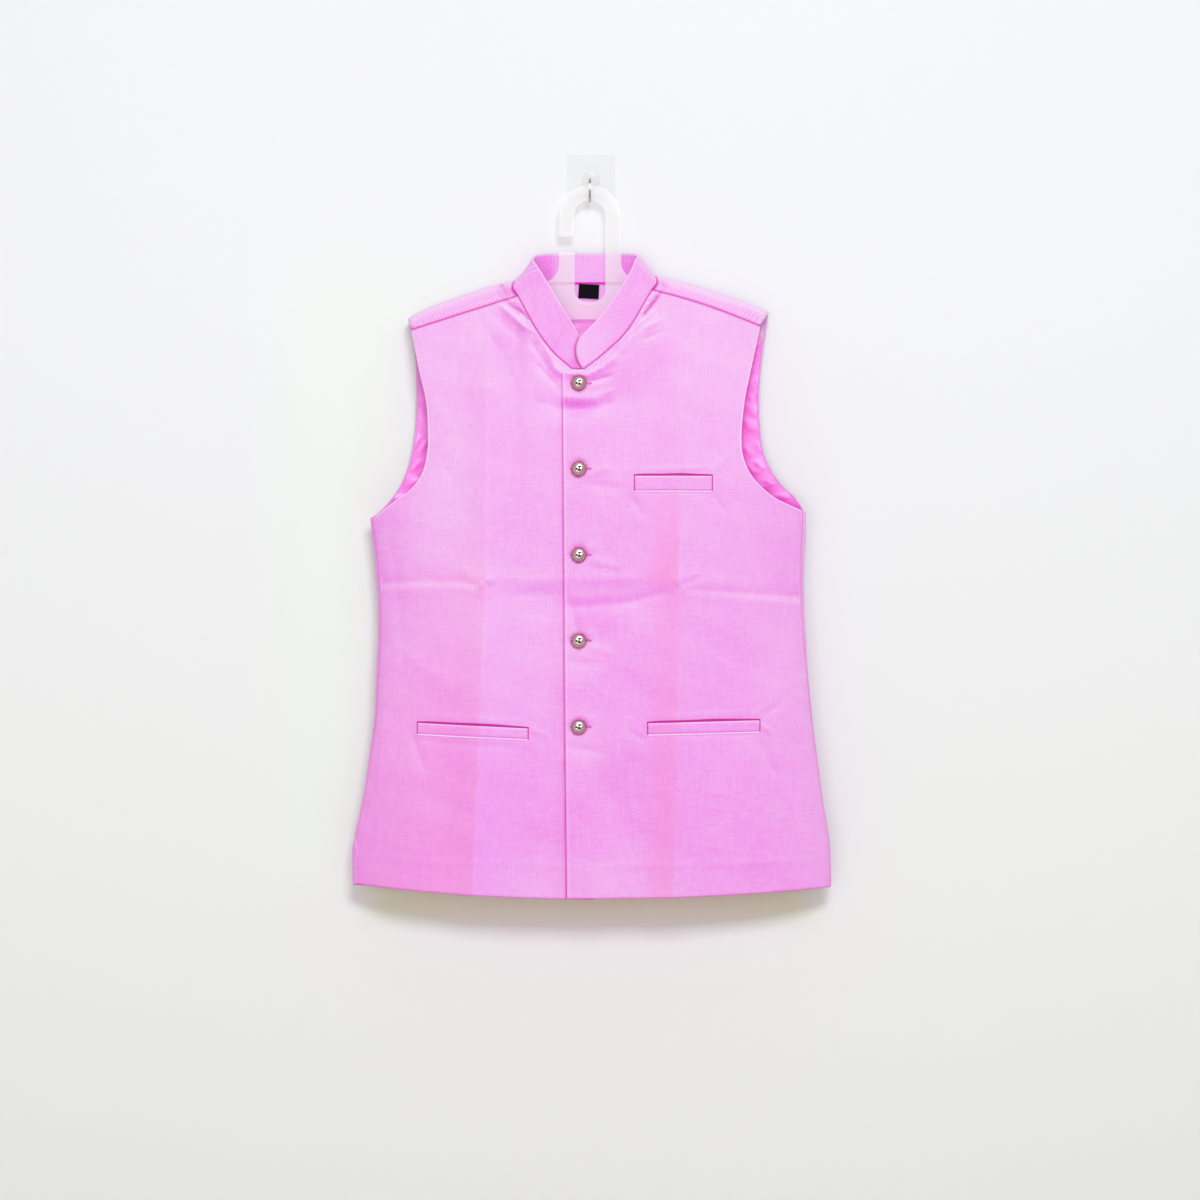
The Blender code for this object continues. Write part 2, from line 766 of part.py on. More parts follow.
def button_profile():
    """Radius and height of the button, from the top of its dome to the end of its shank."""
    dome = [
        (BUTTON_RADIUS * math.sin(a), BUTTON_RIM + BUTTON_DOME * math.cos(a))
        for a in (math.radians(18 * k) for k in range(6))
    ]
    shank_end = -(BUTTON_CLEARANCE + CLOTH + 0.25 * MM)
    return [*dome, (BUTTON_RADIUS * 0.9, 0), (SHANK_RADIUS, 0), (SHANK_RADIUS, shank_end), (0, shank_end)]


def turned(bm, profile, steps, origin, axis):
    """Spins a profile of radius and height round an axis through origin."""
    turn = Vector((0, 0, 1)).rotation_difference(axis)
    verts = [bm.verts.new((radius, 0, height)) for radius, height in profile]
    edges = [bm.edges.new(pair) for pair in zip(verts, verts[1:])]
    bmesh.ops.spin(
        bm, geom=[*verts, *edges], cent=(0, 0, 0), axis=(0, 0, 1),
        angle=2 * math.pi, steps=steps, use_merge=True,
    )
    bmesh.ops.remove_doubles(bm, verts=bm.verts, dist=1e-6)
    bmesh.ops.recalc_face_normals(bm, faces=bm.faces)
    for vert in bm.verts:
        vert.co = turn @ vert.co + origin


def make_button(number, z, material):
    normal = front_normal(BUTTON_X, z)
    origin = front_point(BUTTON_X, z) + normal * (CLOTH / 2 + BUTTON_CLEARANCE)
    bm = bmesh.new()
    turned(bm, button_profile(), 20, origin, normal)
    return smooth(add_object(f"button_{number}", bm, material), 50)


def make_label(material):
    """A bare woven tab on the inside of the back, just below the collar."""
    gap = CLOTH / 2 + SEAM_GAP + LINING / 2

    def place(i, j):
        x = (i / 4 - 0.5) * LABEL_WIDTH
        z = -(1 - j / 3) * LABEL_HEIGHT
        x, z = (
            LABEL_TOP[0] + x * math.cos(LABEL_TILT) - z * math.sin(LABEL_TILT),
            LABEL_TOP[1] + x * math.sin(LABEL_TILT) + z * math.cos(LABEL_TILT),
        )
        return Vector((x, RIDGE_Y + RIDGE_HALF - gap, z))

    bm, _ = cloth_grid(4, 3, place)
    return smooth(thicken(add_object("neck_label", bm, material), LINING))


def arc(centre_x, centre_z, radius, start, end, steps):
    """Points of an arc in the plane of the hanger. Angles are in degrees, from +X towards +Z."""
    angles = (math.radians(mixed(start, end, k / steps)) for k in range(steps + 1))
    return [(centre_x + radius * math.cos(a), centre_z + radius * math.sin(a)) for a in angles]


def hanger_outline():
    """One closed line about x = 0: up the hook, over its arch to the tip, and round the arms."""
    def arm_top(x):
        return looked_up(SHOULDER_CURVE, x + HANG_X, 1) - ARM_CLEARANCE

    left_from = NECK_SIDES[1] + HANGER_NECK_CLEARANCE
    right_to = NECK_SIDES[0] - HANGER_NECK_CLEARANCE
    left_xs = [mixed(left_from, HANGER_END - 6 * MM, k / 6) for k in range(7)]
    right_xs = [mixed(-HANGER_END + 2 * MM, right_to, k / 6) for k in range(7)]
    corner, bend, chamfer = HANGER_END_CORNER, HANGER_BEND, HANGER_CHAMFER
    left_root = (HOOK_OUTER + bend, arm_top(NECK_SIDES[1]) - 1 * MM)
    right_root = (-HOOK_OUTER - bend, arm_top(NECK_SIDES[0]) + 1 * MM)
    return [
        # inside of the slot, up the left leg, over the arch and down to the tip
        *arc(HOOK_INNER - SLOT_CORNER, SLOT_BOTTOM_Z + SLOT_CORNER, SLOT_CORNER, -90, 0, 5),
        *arc(0, HOOK_CENTRE_Z, HOOK_INNER, 0, 180, 14),
        (-HOOK_INNER, HOOK_TIP_Z + chamfer),
        (-HOOK_INNER - chamfer, HOOK_TIP_Z),
        (-HOOK_OUTER + chamfer, HOOK_TIP_Z),
        (-HOOK_OUTER, HOOK_TIP_Z + chamfer),
        *arc(0, HOOK_CENTRE_Z, HOOK_OUTER, 180, 0, 20),
        # down the left leg and out along the left arm
        *arc(left_root[0], left_root[1] + bend, bend, 180, 262, 6),
        *[(x, arm_top(x)) for x in left_xs],
        (HANGER_END, arm_top(HANGER_END) - 5 * MM),
        *arc(HANGER_END - corner, HANGER_END_FOOT_Z + corner, corner, 0, -100, 5),
        (HANGER_FOOT_HALF, HANGER_FOOT_Z),
        (-HANGER_FOOT_HALF, HANGER_FOOT_Z),
        *arc(-HANGER_END + corner, HANGER_END_FOOT_Z + corner, corner, 280, 180, 5),
        (-HANGER_END - 3 * MM, arm_top(-HANGER_END) - 8 * MM),
        *[(x, arm_top(x)) for x in right_xs],
        *arc(right_root[0], right_root[1] + bend, bend, -82, 0, 6),
        # the post at the right of the slot
        (-HOOK_OUTER, POST_TOP_Z - chamfer),
        (-HOOK_OUTER + chamfer, POST_TOP_Z),
        (-HOOK_INNER - chamfer, POST_TOP_Z),
        (-HOOK_INNER, POST_TOP_Z - chamfer),
        *arc(-HOOK_INNER + SLOT_CORNER, SLOT_BOTTOM_Z + SLOT_CORNER, SLOT_CORNER, 180, 270, 5),
    ]


def plate(name, outline, thickness, middle_x, middle_y, bevel, material):
    """A flat plate: the outline filled, extruded along Y and its edges rounded."""
    bm = bmesh.new()
    verts = [bm.verts.new((x + middle_x, middle_y + thickness / 2, z)) for x, z in outline]
    face = bm.faces.new(verts)
    made = bmesh.ops.extrude_face_region(bm, geom=[face])["geom"]
    moved = [item for item in made if isinstance(item, bmesh.types.BMVert)]
    bmesh.ops.translate(bm, verts=moved, vec=(0, -thickness, 0))
    bmesh.ops.recalc_face_normals(bm, faces=bm.faces)
    obj = add_object(name, bm, material)
    if bevel:
        rounding = obj.modifiers.new("rounding", "BEVEL")
        rounding.width = bevel
        rounding.segments = 1
        rounding.angle_limit = math.radians(60)
    return smooth(obj)


def make_wall_plate(material):
    w, h, r = PLATE_WIDTH / 2, PLATE_HEIGHT / 2, PLATE_CORNER
    outline = [
        *arc(w - r, h - r, r, 90, 0, 4),
        *arc(w - r, -h + r, r, 0, -90, 4),
        *arc(-w + r, -h + r, r, 270, 180, 4),
        *arc(-w + r, h - r, r, 180, 90, 4),
    ]
    return plate("wall_plate", outline, PLATE, 0, -PLATE / 2, 0, material)


def make_boss(material):
    """A low dome on the plate, bored for the end of the wire."""
    base = -PLATE - SEAM_GAP
    profile = [
        (0, BOSS),
        (BOSS_RADIUS * 0.45, BOSS),
        (BOSS_RADIUS * 0.8, BOSS * 0.8),
        (BOSS_RADIUS * 0.96, BOSS * 0.45),
        (BOSS_RADIUS, 0),
        (0, 0),
    ]
    bm = bmesh.new()
    turned(bm, profile, 32, Vector((0, base, BOSS_Z)), Vector((0, -1, 0)))
    boss = smooth(add_object("wall_boss", bm, material))
    bm = bmesh.new()
    bore = [(0, 20 * MM), (WIRE_HOLE, 20 * MM), (WIRE_HOLE, 0), (0, 0)]
    start = Vector((HANG_X, WIRE_ROOT_Y + SEAM_GAP, BOSS_Z))
    turned(bm, bore, 16, start, Vector((0, -1, 0)))
    cut(boss, add_object("bore_cutter", bm, material))
    return boss


def make_wire(material):
    """The hook: out of the boss, down behind the hanger, under it and up in front."""
    bend_z = WIRE_SEAT_Z + WIRE_BEND
    knee_y = RIDGE_Y + WIRE_BEND + WIRE_KNEE
    points = [Vector((HANG_X, WIRE_ROOT_Y, BOSS_Z))]
    for k in range(6):
        a = math.radians(18 * k)
        drop = WIRE_KNEE * (1 - math.cos(a))
        points.append(Vector((HANG_X, knee_y - WIRE_KNEE * math.sin(a), BOSS_Z - drop)))
    for k in range(9):
        a = math.pi * k / 8
        lower = WIRE_BEND * math.sin(a)
        points.append(Vector((HANG_X, RIDGE_Y + WIRE_BEND * math.cos(a), bend_z - lower)))
    points.append(Vector((HANG_X, RIDGE_Y - WIRE_BEND, WIRE_TIP_Z)))
    curve = bpy.data.curves.new("wall_wire", "CURVE")
    curve.dimensions = "3D"
    curve.bevel_depth = WIRE_RADIUS
    curve.bevel_resolution = 2
    curve.use_fill_caps = True
    curve.materials.append(material)
    line = curve.splines.new("POLY")
    line.points.add(len(points) - 1)
    for target, point in zip(line.points, points):
        target.co = (*point, 1)
    obj = bpy.data.objects.new("wall_wire", curve)
    bpy.context.scene.collection.objects.link(obj)
    return obj


def build():
    clear_scene()
    pink = finish("jacket_cloth", (0.90, 0.38, 0.83), 0.75)
    satin = finish("lining_satin", (0.88, 0.24, 0.62), 0.45)
    woven = finish("label_woven", (0.01, 0.01, 0.015), 0.8)
    silver = finish("button_metal", (0.62, 0.58, 0.52), 0.35, metal=1.0)
    milky = finish("hanger_plastic", (0.9, 0.88, 0.9), 0.35, alpha=0.6)
    clear = finish("hook_plastic", (0.95, 0.96, 0.96), 0.1, alpha=0.3)
    steel = finish("hook_wire", (0.6, 0.6, 0.62), 0.25, metal=1.0)

    front_panel("front_right", "right", RIGHT_FRONT_EDGE, RIGHT_EDGE_TOP, RIGHT_NECKLINE,
                RIGHT_FRONT_ARMHOLE, HEM_CORNERS[0], pink, under=True)
    over = front_panel("front_left", "left", LEFT_FRONT_EDGE, LEFT_EDGE_TOP, LEFT_NECKLINE,
                       LEFT_FRONT_ARMHOLE, HEM_CORNERS[1], pink)
    make_buttonholes(over)
    make_back(pink)
    make_lining(satin)
    make_collar(pink)
    for name, row in WELTS.items():
        make_welt(name, row, pink)
    for number, z in enumerate(BUTTON_LEVELS, 1):
        make_button(number, z, silver)
    make_label(woven)
    plate("hanger", hanger_outline(), HANGER, HANG_X, RIDGE_Y, 0.6 * MM, milky)
    make_wall_plate(clear)
    make_boss(clear)
    make_wire(steel)


build()
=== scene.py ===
# %% [markdown]
# # A nehru jacket on its hanger
#
# A nehru jacket is a sleeveless, band-collared jacket from South Asia. This one hangs on a flat
# plastic hanger, from a hook stuck on a wall. The imported solids already have its true size and
# outline. Here each cloth panel is made again as a finer sheet on the same form, with its pressed
# folds, drags, seams and weave. We load the solids first.

import math

import bmesh
import bpy
import numpy as np
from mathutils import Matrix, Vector


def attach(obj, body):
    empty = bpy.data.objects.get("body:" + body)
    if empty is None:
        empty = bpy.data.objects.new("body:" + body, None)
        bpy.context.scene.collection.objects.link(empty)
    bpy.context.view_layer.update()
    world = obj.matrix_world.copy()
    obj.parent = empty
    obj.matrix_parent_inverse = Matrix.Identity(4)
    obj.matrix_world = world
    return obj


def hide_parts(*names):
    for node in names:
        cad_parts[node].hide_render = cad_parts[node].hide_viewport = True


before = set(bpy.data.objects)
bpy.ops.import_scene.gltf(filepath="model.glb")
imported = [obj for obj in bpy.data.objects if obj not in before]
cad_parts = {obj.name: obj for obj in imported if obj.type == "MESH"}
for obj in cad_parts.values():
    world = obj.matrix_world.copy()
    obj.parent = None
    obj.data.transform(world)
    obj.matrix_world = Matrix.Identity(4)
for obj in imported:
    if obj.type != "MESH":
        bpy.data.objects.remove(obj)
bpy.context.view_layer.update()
FINER = 1.0
print("nodes:", ", ".join(sorted(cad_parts)))

# %% [markdown]
# ## Curves
#
# A tailor draws with a few marks and a bent rule. We do the same: each outline is a short table of
# marks in millimetres, and a Catmull-Rom curve runs through them without corners. numpy works on
# whole columns of numbers at once, so a sheet of twenty thousand points takes no time.

# %% Curves through a few marks
MM = 0.001


def mixed(a, b, t):
    return a + (b - a) * t


def step(t):
    """0 before 0, 1 after 1, and smooth between."""
    t = np.clip(t, 0.0, 1.0)
    return t * t * (3 - 2 * t)


def smooth_curve(points, finer=12):
    """A close polyline through the points, without corners."""
    points = np.asarray(points, float)
    ends = np.vstack([2 * points[0] - points[1], points, 2 * points[-1] - points[-2]])
    p, q, r, s = (ends[k : len(ends) - 3 + k, None, :] for k in range(4))
    t = np.linspace(0, 1, finer, endpoint=False)[None, :, None]
    line = 2 * q + (r - p) * t + (2 * p - 5 * q + 4 * r - s) * t**2 + (3 * q - p - 3 * r + s) * t**3
    return np.vstack([line.reshape(-1, points.shape[1]) / 2, points[-1:]])


def along(line, shares):
    """The points at those shares of a polyline's length."""
    lengths = np.linalg.norm(np.diff(line, axis=0), axis=1)
    at = np.concatenate([[0], np.cumsum(lengths)]) / lengths.sum()
    return np.stack([np.interp(shares, at, line[:, k]) for k in range(line.shape[1])], axis=-1)


def flat_curve(rows):
    """A smooth curve in metres through rows of across and level, in millimetres."""
    return smooth_curve(rows) * MM


print("three marks make a curve of", len(flat_curve(((0, 0), (1, 1), (2, 0)))), "points")

# %% [markdown]
# ## The jacket's form
#
# These are the sizes that the solids were made from: where the sides lie at each level, the line
# of the shoulders, and how far the chest stands forward. Cut through at any level, the hung jacket
# is a superellipse, flatter than an ellipse in front and tighter at the sides, as cloth is when
# nobody wears it.

# %% The body's sections and the line of the shoulders
CLOTH = 2.0 * MM
LINING = 1.0 * MM
SEAM_GAP = 0.3 * MM
BODY_SECTIONS = (
    # level, right side, left side
    (-832, -272, 275.5),
    (-790, -272.5, 275),
    (-762, -270.5, 273),
    (-719, -262, 266),
    (-673, -255, 260),
    (-627, -248.5, 254),
    (-581, -246, 249.5),
    (-535, -244, 246),
    (-489, -244, 244),
    (-443, -247, 244),
    (-397, -253, 246),
)
SHOULDER_LINE = (
    # across, level
    (-211, -165.4),
    (-202.4, -160.2),
    (-187.5, -153.3),
    (-161, -143.5),
    (-126.5, -131.4),
    (-105.8, -125.7),
    (-86.3, -121.1),
    (-60, -118),
    (0, -115),
    (50, -114.5),
    (71.9, -115.9),
    (90.9, -120.5),
    (120.8, -128),
    (148.4, -136.6),
    (182.9, -148.1),
    (204.7, -159),
)
NECK_SIDES = (-87 * MM, 72.5 * MM)
NECK_BULGE = 4.5 * MM
NECK_LIFT = 15 * MM
NECK_BLEND = 16 * MM
BACK_NECK_LEVEL = -124 * MM
RIDGE_Y = -16 * MM  # the plane of the hanger
RIDGE_HALF = 9 * MM
RIDGE_ROUND = 10 * MM
CHEST_DEPTH = 38 * MM
CHEST_RUN = 120 * MM
CHEST_POWER = 1.3
SIDE_LEAD = 2 * MM
SIDE_LEAD_AT_HEM = 5 * MM
UNDERARM_Z = -0.392
HEM_Z = -0.830
SECTION_X_POWER = 0.8
SECTION_Y_POWER = 1.2
BODY_CURVE = flat_curve(BODY_SECTIONS)
SHOULDER_CURVE = flat_curve(SHOULDER_LINE)


def girth(z):
    """The middle and the half width of the body at a level."""
    right = np.interp(z, BODY_CURVE[:, 0], BODY_CURVE[:, 1])
    left = np.interp(z, BODY_CURVE[:, 0], BODY_CURVE[:, 2])
    return (left + right) / 2, (left - right) / 2


def shoulder_line(x):
    return np.interp(x, SHOULDER_CURVE[:, 0], SHOULDER_CURVE[:, 1])


def inside_neck(x):
    """0 outside the neck hole, and 1 well inside it."""
    return step(np.minimum(x - NECK_SIDES[0], NECK_SIDES[1] - x) / NECK_BLEND)


def shoulder_z(x):
    return shoulder_line(x) + NECK_LIFT * inside_neck(x)


def below_shoulder(x, z):
    return np.maximum(shoulder_z(x) - z, 0.0)


def turned_over(drop):
    """Half the thickness of the shoulder at that drop below its top: a quarter of an ellipse."""
    return RIDGE_HALF * np.sqrt(1 - (1 - np.minimum(drop / RIDGE_ROUND, 1.0)) ** 2)


def chest_depth(drop):
    return CHEST_DEPTH * (1 - np.exp(-((drop / CHEST_RUN) ** CHEST_POWER)))


def side_lead(z):
    return mixed(SIDE_LEAD, SIDE_LEAD_AT_HEM, step((UNDERARM_Z - z) / (UNDERARM_Z - HEM_Z)))


def section(x, z):
    """0 at the sides of the body and 1 in its middle."""
    middle, half = girth(z)
    s = np.minimum(np.abs(x - middle) / half, 1.0)
    return (1 - s ** (2 / SECTION_X_POWER)) ** (SECTION_Y_POWER / 2)


print("half the width under the arms:", round(float(girth(UNDERARM_Z)[1]) / MM, 1), "mm")

# %% [markdown]
# ## Folds
#
# A folded, packed jacket keeps its folds when it is hung up. The large soft ones are in the solids
# too. We give each as a line with a width and a height: a point near the line is lifted, and the
# lift dies away smoothly. Listing them one row for each fold keeps them as uneven as real ones,
# which a noise pattern wouldn't.

# %% The large folds
FRONT_FOLDS = (
    # from x, z, to x, z, half width, height towards the viewer
    (-118, -250, -137, -832, 34, 2.6),
    (101, -250, 95, -832, 34, 2.6),
    (-248, -470, -122, -472, 22, 1.6),
    (98, -470, 246, -484, 22, 1.6),
    (-60, -492, 70, -490, 30, -2.2),
    (-60, -270, 34, -262, 26, -1.6),
    (-80, -150, -46, -196, 12, 2.2),
    (70, -152, 30, -205, 14, -1.8),
    (-205, -690, -218, -832, 48, 3.0),
    (38, -700, 44, -832, 44, -2.4),
    (196, -680, 210, -832, 50, 3.0),
)
BACK_FOLDS = (
    # the same columns, with the height away from the viewer
    (-120, -220, -134, -822, 36, 2.2),
    (99, -220, 95, -822, 36, 2.2),
    (-235, -472, 235, -480, 24, 1.2),
)


def off_line(row, x, z):
    """How far along its line a point is, from 0 to 1, and how far off it, with a sign for the side."""
    x0, z0, x1, z1 = (value * MM for value in row[:4])
    run_x, run_z = x1 - x0, z1 - z0
    t = ((x - x0) * run_x + (z - z0) * run_z) / (run_x**2 + run_z**2)
    near = np.clip(t, 0, 1)
    off_x, off_z = x - x0 - near * run_x, z - z0 - near * run_z
    side = np.where(run_x * off_z - run_z * off_x >= 0, 1.0, -1.0)
    return t, np.hypot(off_x, off_z) * side


def fold_height(folds, x, z):
    total = 0.0
    for *line, half_width, height in folds:
        _, off = off_line(line, x, z)
        total = total + height * MM * (1 - step(np.abs(off) / (half_width * MM)))
    return total * section(x, z)


def front_y(x, z):
    drop = below_shoulder(x, z)
    forward = turned_over(drop) + side_lead(z) * step(drop / CHEST_RUN)
    return RIDGE_Y - forward - chest_depth(drop) * section(x, z) - fold_height(FRONT_FOLDS, x, z)


def back_reach(x, z):
    """How far the back's sides come forward of its middle."""
    body = shoulder_z(x) - UNDERARM_Z
    return (2 * RIDGE_HALF + side_lead(z)) * np.minimum(below_shoulder(x, z) / body, 1.0) ** 1.5


def back_y(x, z):
    lead = back_reach(x, z) * (1 - section(x, z))
    return RIDGE_Y + turned_over(below_shoulder(x, z)) - lead + fold_height(BACK_FOLDS, x, z)


print("the chest stands", round(-front_y(0.0, -0.45) / MM, 1), "mm in front of the wall")

# %% [markdown]
# ## Pressed creases and small drags
#
# A crease that was pressed flat is sharper than a soft fold: it has a fine ridge, with one flank
# steeper than the other, so that light catches one side of it. Drags are short and soft, and run
# from where the cloth is held: the neck, the buttons and the ends of the pockets. The rows below
# name the two flanks apart. Away from the front, where nobody pressed as carefully, similar
# creases are placed on the back.

# %% Creases
FRONT_CREASES = (
    # from x, z, to x, z, flank behind and before the line, height towards the viewer
    # the two long upright creases
    (-119.6, -190, -120, -470, 26, 5, 0.9),
    (-120, -474, -136.5, -850, 30, 4, 1.6),
    (102.4, -190, 100, -470, 30, 5, 1.0),
    (99, -474, 93, -850, 34, 4, 1.6),
    # the level ones: sharp valleys, dark above and pale below, and a softer wave between them
    (-262, -472, -186, -467.8, 9, 22, -1.9),
    (-196, -468, -138, -469.4, 9, 20, -1.9),
    (-146, -469.6, -124, -474, 7, 12, -1.8),
    (-112, -464, -34, -469, 14, 20, 1.2),
    (-112, -482, -32, -484, 14, 12, -1.0),
    (108, -477, 170, -481.5, 9, 16, -1.8),
    (160, -481, 262, -487.4, 9, 24, -2.2),
    (-24, -466, 56, -464, 18, 22, 1.4),
    (-28, -497, 54, -492, 13, 12, -1.7),
    (40, -492, 100, -478, 10, 12, -1.4),
    (-27, -484, -14, -532, 9, 14, -1.8),
    # small puckers where they cross
    (-130, -476, -113, -464, 5, 5, 2.2),
    (-126, -466, -115, -474, 4, 4, -1.4),
    (-118, -480, -106, -470, 4, 5, -1.2),
    (92, -462, 104, -474, 5, 5, 1.4),
    (98, -473.5, 130, -462.5, 5, 6, -1.8),
    # right shoulder: two deep folds at the collar, and a bright one that runs down beside it
    (-100.5, -126, -92, -141, 5, 5, -3.6),
    (-107, -126, -100, -140, 5, 5, 2.4),
    (-96, -147, -68, -169, 6, 6, -3.6),
    (-105, -150, -70, -181, 11, 8, 3.9),
    (-114, -160, -76, -196, 14, 20, -1.4),
    (-134, -160, -96, -214, 24, 26, -1.3),
    (-96, -196, -76, -256, 22, 20, 0.8),
    (-70, -190, -48, -226, 9, 12, -2.2),
    (-52, -200, -40, -226, 9, 9, 3.4),
    (-42, -223, -29, -233, 8, 8, 3.2),
    (-64, -216, -38, -246, 10, 12, -3.2),
    # left shoulder
    (84, -121, 88, -132, 5, 5, -2.8),
    (82, -134, 60, -166, 5, 6, -4.0),
    (80, -168, 58, -180, 8, 7, 1.8),
    (84, -180, 56, -192, 9, 9, -1.4),
    (72, -152, 54, -178, 6, 7, 2.2),
    (120, -176, 64, -236, 24, 26, -0.8),
    (58, -180, 22, -218, 9, 9, 1.6),
    # round the top of the opening
    (-31, -230.3, -2, -232, 7, 6, 2.8),
    (-4, -232, 15, -222.5, 7, 7, 3.0),
    (13, -223, 28, -213, 8, 8, 2.4),
    (-4, -240, 24, -232, 8, 7, -3.2),
    (-33, -257, -10, -260.4, 8, 9, 3.4),
    (-14, -260.4, 10, -257.5, 8, 9, 3.2),
    (6, -258, 26, -248, 9, 9, 1.8),
    (-34, -270, -2, -268, 11, 8, -3.8),
    (-2, -271, 30, -262, 12, 9, -1.8),
    (-64, -262, -36, -268, 12, 10, -1.2),
    # drags at the other buttons
    (-30, -356, -18, -349, 7, 8, -1.0),
    (-9, -346, 26, -338, 8, 9, 1.2),
    (-9, -356, 34, -362, 9, 9, -1.1),
    (-2, -444, 36, -452, 9, 12, 1.5),
    (-30, -434, 8, -430, 8, 10, 0.9),
    (-30, -530, 10, -527, 8, 9, 1.2),
    (-4, -542, 26, -552, 9, 10, 1.0),
    (-28, -560, 10, -563, 10, 9, -1.0),
    (-30, -629, 6, -624, 8, 10, 1.3),
    (-30, -658, 20, -664, 10, 9, -1.1),
    # the chest pocket pulls a little, and its mouth gapes in the middle
    (56, -341, 134, -338, 5, 6, 1.0),
    (44, -370, 62, -394, 9, 10, -1.2),
    (138, -366, 154, -390, 8, 10, -1.2),
    (140, -340, 160, -322, 8, 9, 1.0),
    # the hip pockets
    (-198, -622, -80, -629, 6, 6, 0.9),
    (66, -623, 190, -619, 6, 6, 0.9),
    (-206, -640, -190, -684, 12, 12, -1.4),
    (-196, -650, -74, -658, 10, 5, -0.8),
    (192, -632, 206, -640, 5, 6, 1.6),
    (196, -622, 214, -610, 6, 7, -1.2),
    (190, -646, 214, -694, 12, 14, -1.4),
    (44, -640, 62, -650, 6, 7, -1.2),
    (64, -644, 190, -641, 8, 4, -0.8),
    (-70, -636, -48, -646, 8, 9, 1.2),
    # the turned-up hem shows as a faint step
    (-270, -783, -36, -792, 10, 3, 0.45),
    (-24, -793, 272, -786, 10, 3, 0.6),
    # long soft waves over the waist and towards the side seams
    (-232, -400, -214, -560, 16, 20, -1.0),
    (228, -400, 214, -560, 16, 20, -1.1),
    (-236, -560, -246, -760, 16, 20, 0.9),
    (238, -560, 252, -760, 18, 20, 0.9),
    (-222, -540, -150, -600, 30, 28, 0.7),
    (-206, -700, -120, -744, 30, 28, -0.7),
    (-96, -700, -44, -760, 26, 28, 0.6),
    (130, -540, 230, -590, 28, 30, -0.7),
    (120, -700, 236, -742, 30, 28, 0.7),
    (18, -560, 84, -616, 30, 28, -0.6),
    (10, -700, 70, -770, 30, 28, -0.6),
    (-190, -300, -140, -380, 30, 28, -0.7),
    (120, -280, 160, -340, 30, 30, -0.7),
)
BACK_CREASES = (
    (-121, -180, -128, -470, 26, 5, 0.9),
    (-128, -474, -136, -850, 30, 4, 1.1),
    (100, -180, 97, -470, 30, 5, 0.9),
    (97, -474, 94, -850, 34, 4, 1.1),
    (-262, -470, -118, -474, 12, 5, 0.8),
    (-118, -474, 98, -478, 12, 5, 0.9),
    (98, -478, 262, -484, 12, 5, 0.8),
    (-60, -150, -24, -230, 14, 14, -1.2),
    (52, -150, 18, -224, 14, 14, -1.3),
    (-190, -210, -120, -330, 22, 20, -1.5),
    (180, -205, 116, -340, 22, 20, -1.4),
    (-236, -420, -180, -560, 20, 20, 1.2),
    (232, -420, 176, -548, 20, 20, 1.1),
    (-30, -560, -44, -800, 30, 26, 1.2),
    (40, -600, 60, -820, 28, 30, -1.2),
)


def crease_height(creases, x, z):
    """The height of all the creases at a point. Each dies away towards its ends."""
    total = 0.0
    for *line, flank_behind, flank_before, height in creases:
        t, off = off_line(line, x, z)
        flank = np.where(off > 0, flank_before, flank_behind) * MM
        rise = np.maximum(1 - np.abs(off) / flank, 0) ** 2
        fade = 0.35 + 0.65 * step(np.minimum(t, 1 - t) / 0.25)
        total = total + height * MM * rise * fade
    return total


def unevenness(x, z, seed, height=0.35 * MM):
    """A slight wander of the whole cloth, from waves of 40 to 160 mm in all directions."""
    dice = np.random.default_rng(seed)
    total = 0.0
    for _ in range(9):
        turn, phase = dice.uniform(0, 2 * math.pi, 2)
        length = dice.uniform(40, 160) * MM
        total = total + np.sin((x * math.cos(turn) + z * math.sin(turn)) * 2 * math.pi / length + phase)
    return total * height / 3


print(len(FRONT_CREASES), "creases on the front and", len(BACK_CREASES), "on the back")

# %% [markdown]
# ## From points to cloth
#
# A panel is a grid whose corners we move to their places, then a Solidify modifier gives it
# its thickness. The grid also gets a UV map in metres, which the weave follows, and three
# numbers at each point: how deep the colour is there, which is a seam's own colour and also
# painted shade in sharp folds, beside edges and round buttons; how rosy the cloth is, which is
# painted warm and cool light; and how pale, which carries painted light and shade. Grids could
# be shaped by hand in edit mode, but a rule for each point keeps the edges true.

# %% The grid, its normals and its edges
EDGE_RINGS = np.array((0.5, 1.2, 2.2))  # millimetres from an edge to its narrow rows


def with_edges(values, first, last):
    """values with narrow steps at both ends. first and last are the end steps, in millimetres."""
    start = values[0] + (values[1] - values[0]) * EDGE_RINGS / first
    stop = values[-1] - (values[-1] - values[-2]) * EDGE_RINGS[::-1] / last
    return np.concatenate([values[:1], start, values[1:-1], stop, values[-1:]])


def spread(*stretches):
    """Values through stretches of (from, to, steps)."""
    parts = [
        np.linspace(start, stop, max(2, round(steps * FINER)), endpoint=False)
        for start, stop, steps in stretches
    ]
    return np.concatenate([*parts, [stretches[-1][1]]])


def normals(points):
    """The direction out of a grid of points, on the side of column times row."""
    out = np.cross(np.gradient(points, axis=0), np.gradient(points, axis=1))
    return out / np.maximum(np.linalg.norm(out, axis=-1, keepdims=True), 1e-12)


def run_from(points, axis, end=False):
    """The length along the grid from its first, or last, line to each point."""
    steps = np.linalg.norm(np.diff(points, axis=axis), axis=-1)
    if end:
        steps = np.flip(steps, axis)
    pad = [(0, 0), (0, 0)]
    pad[axis] = (1, 0)
    total = np.cumsum(np.pad(steps, pad), axis=axis)
    return np.flip(total, axis) if end else total


def edge_runs(points):
    """The lengths to the first and last column, and to the first and last row."""
    return [run_from(points, axis, end) for axis in (0, 1) for end in (False, True)]


def rolled(run, depth, width=3.0 * MM):
    """How far a folded edge falls away."""
    return depth * np.maximum(1 - run / width, 0) ** 2


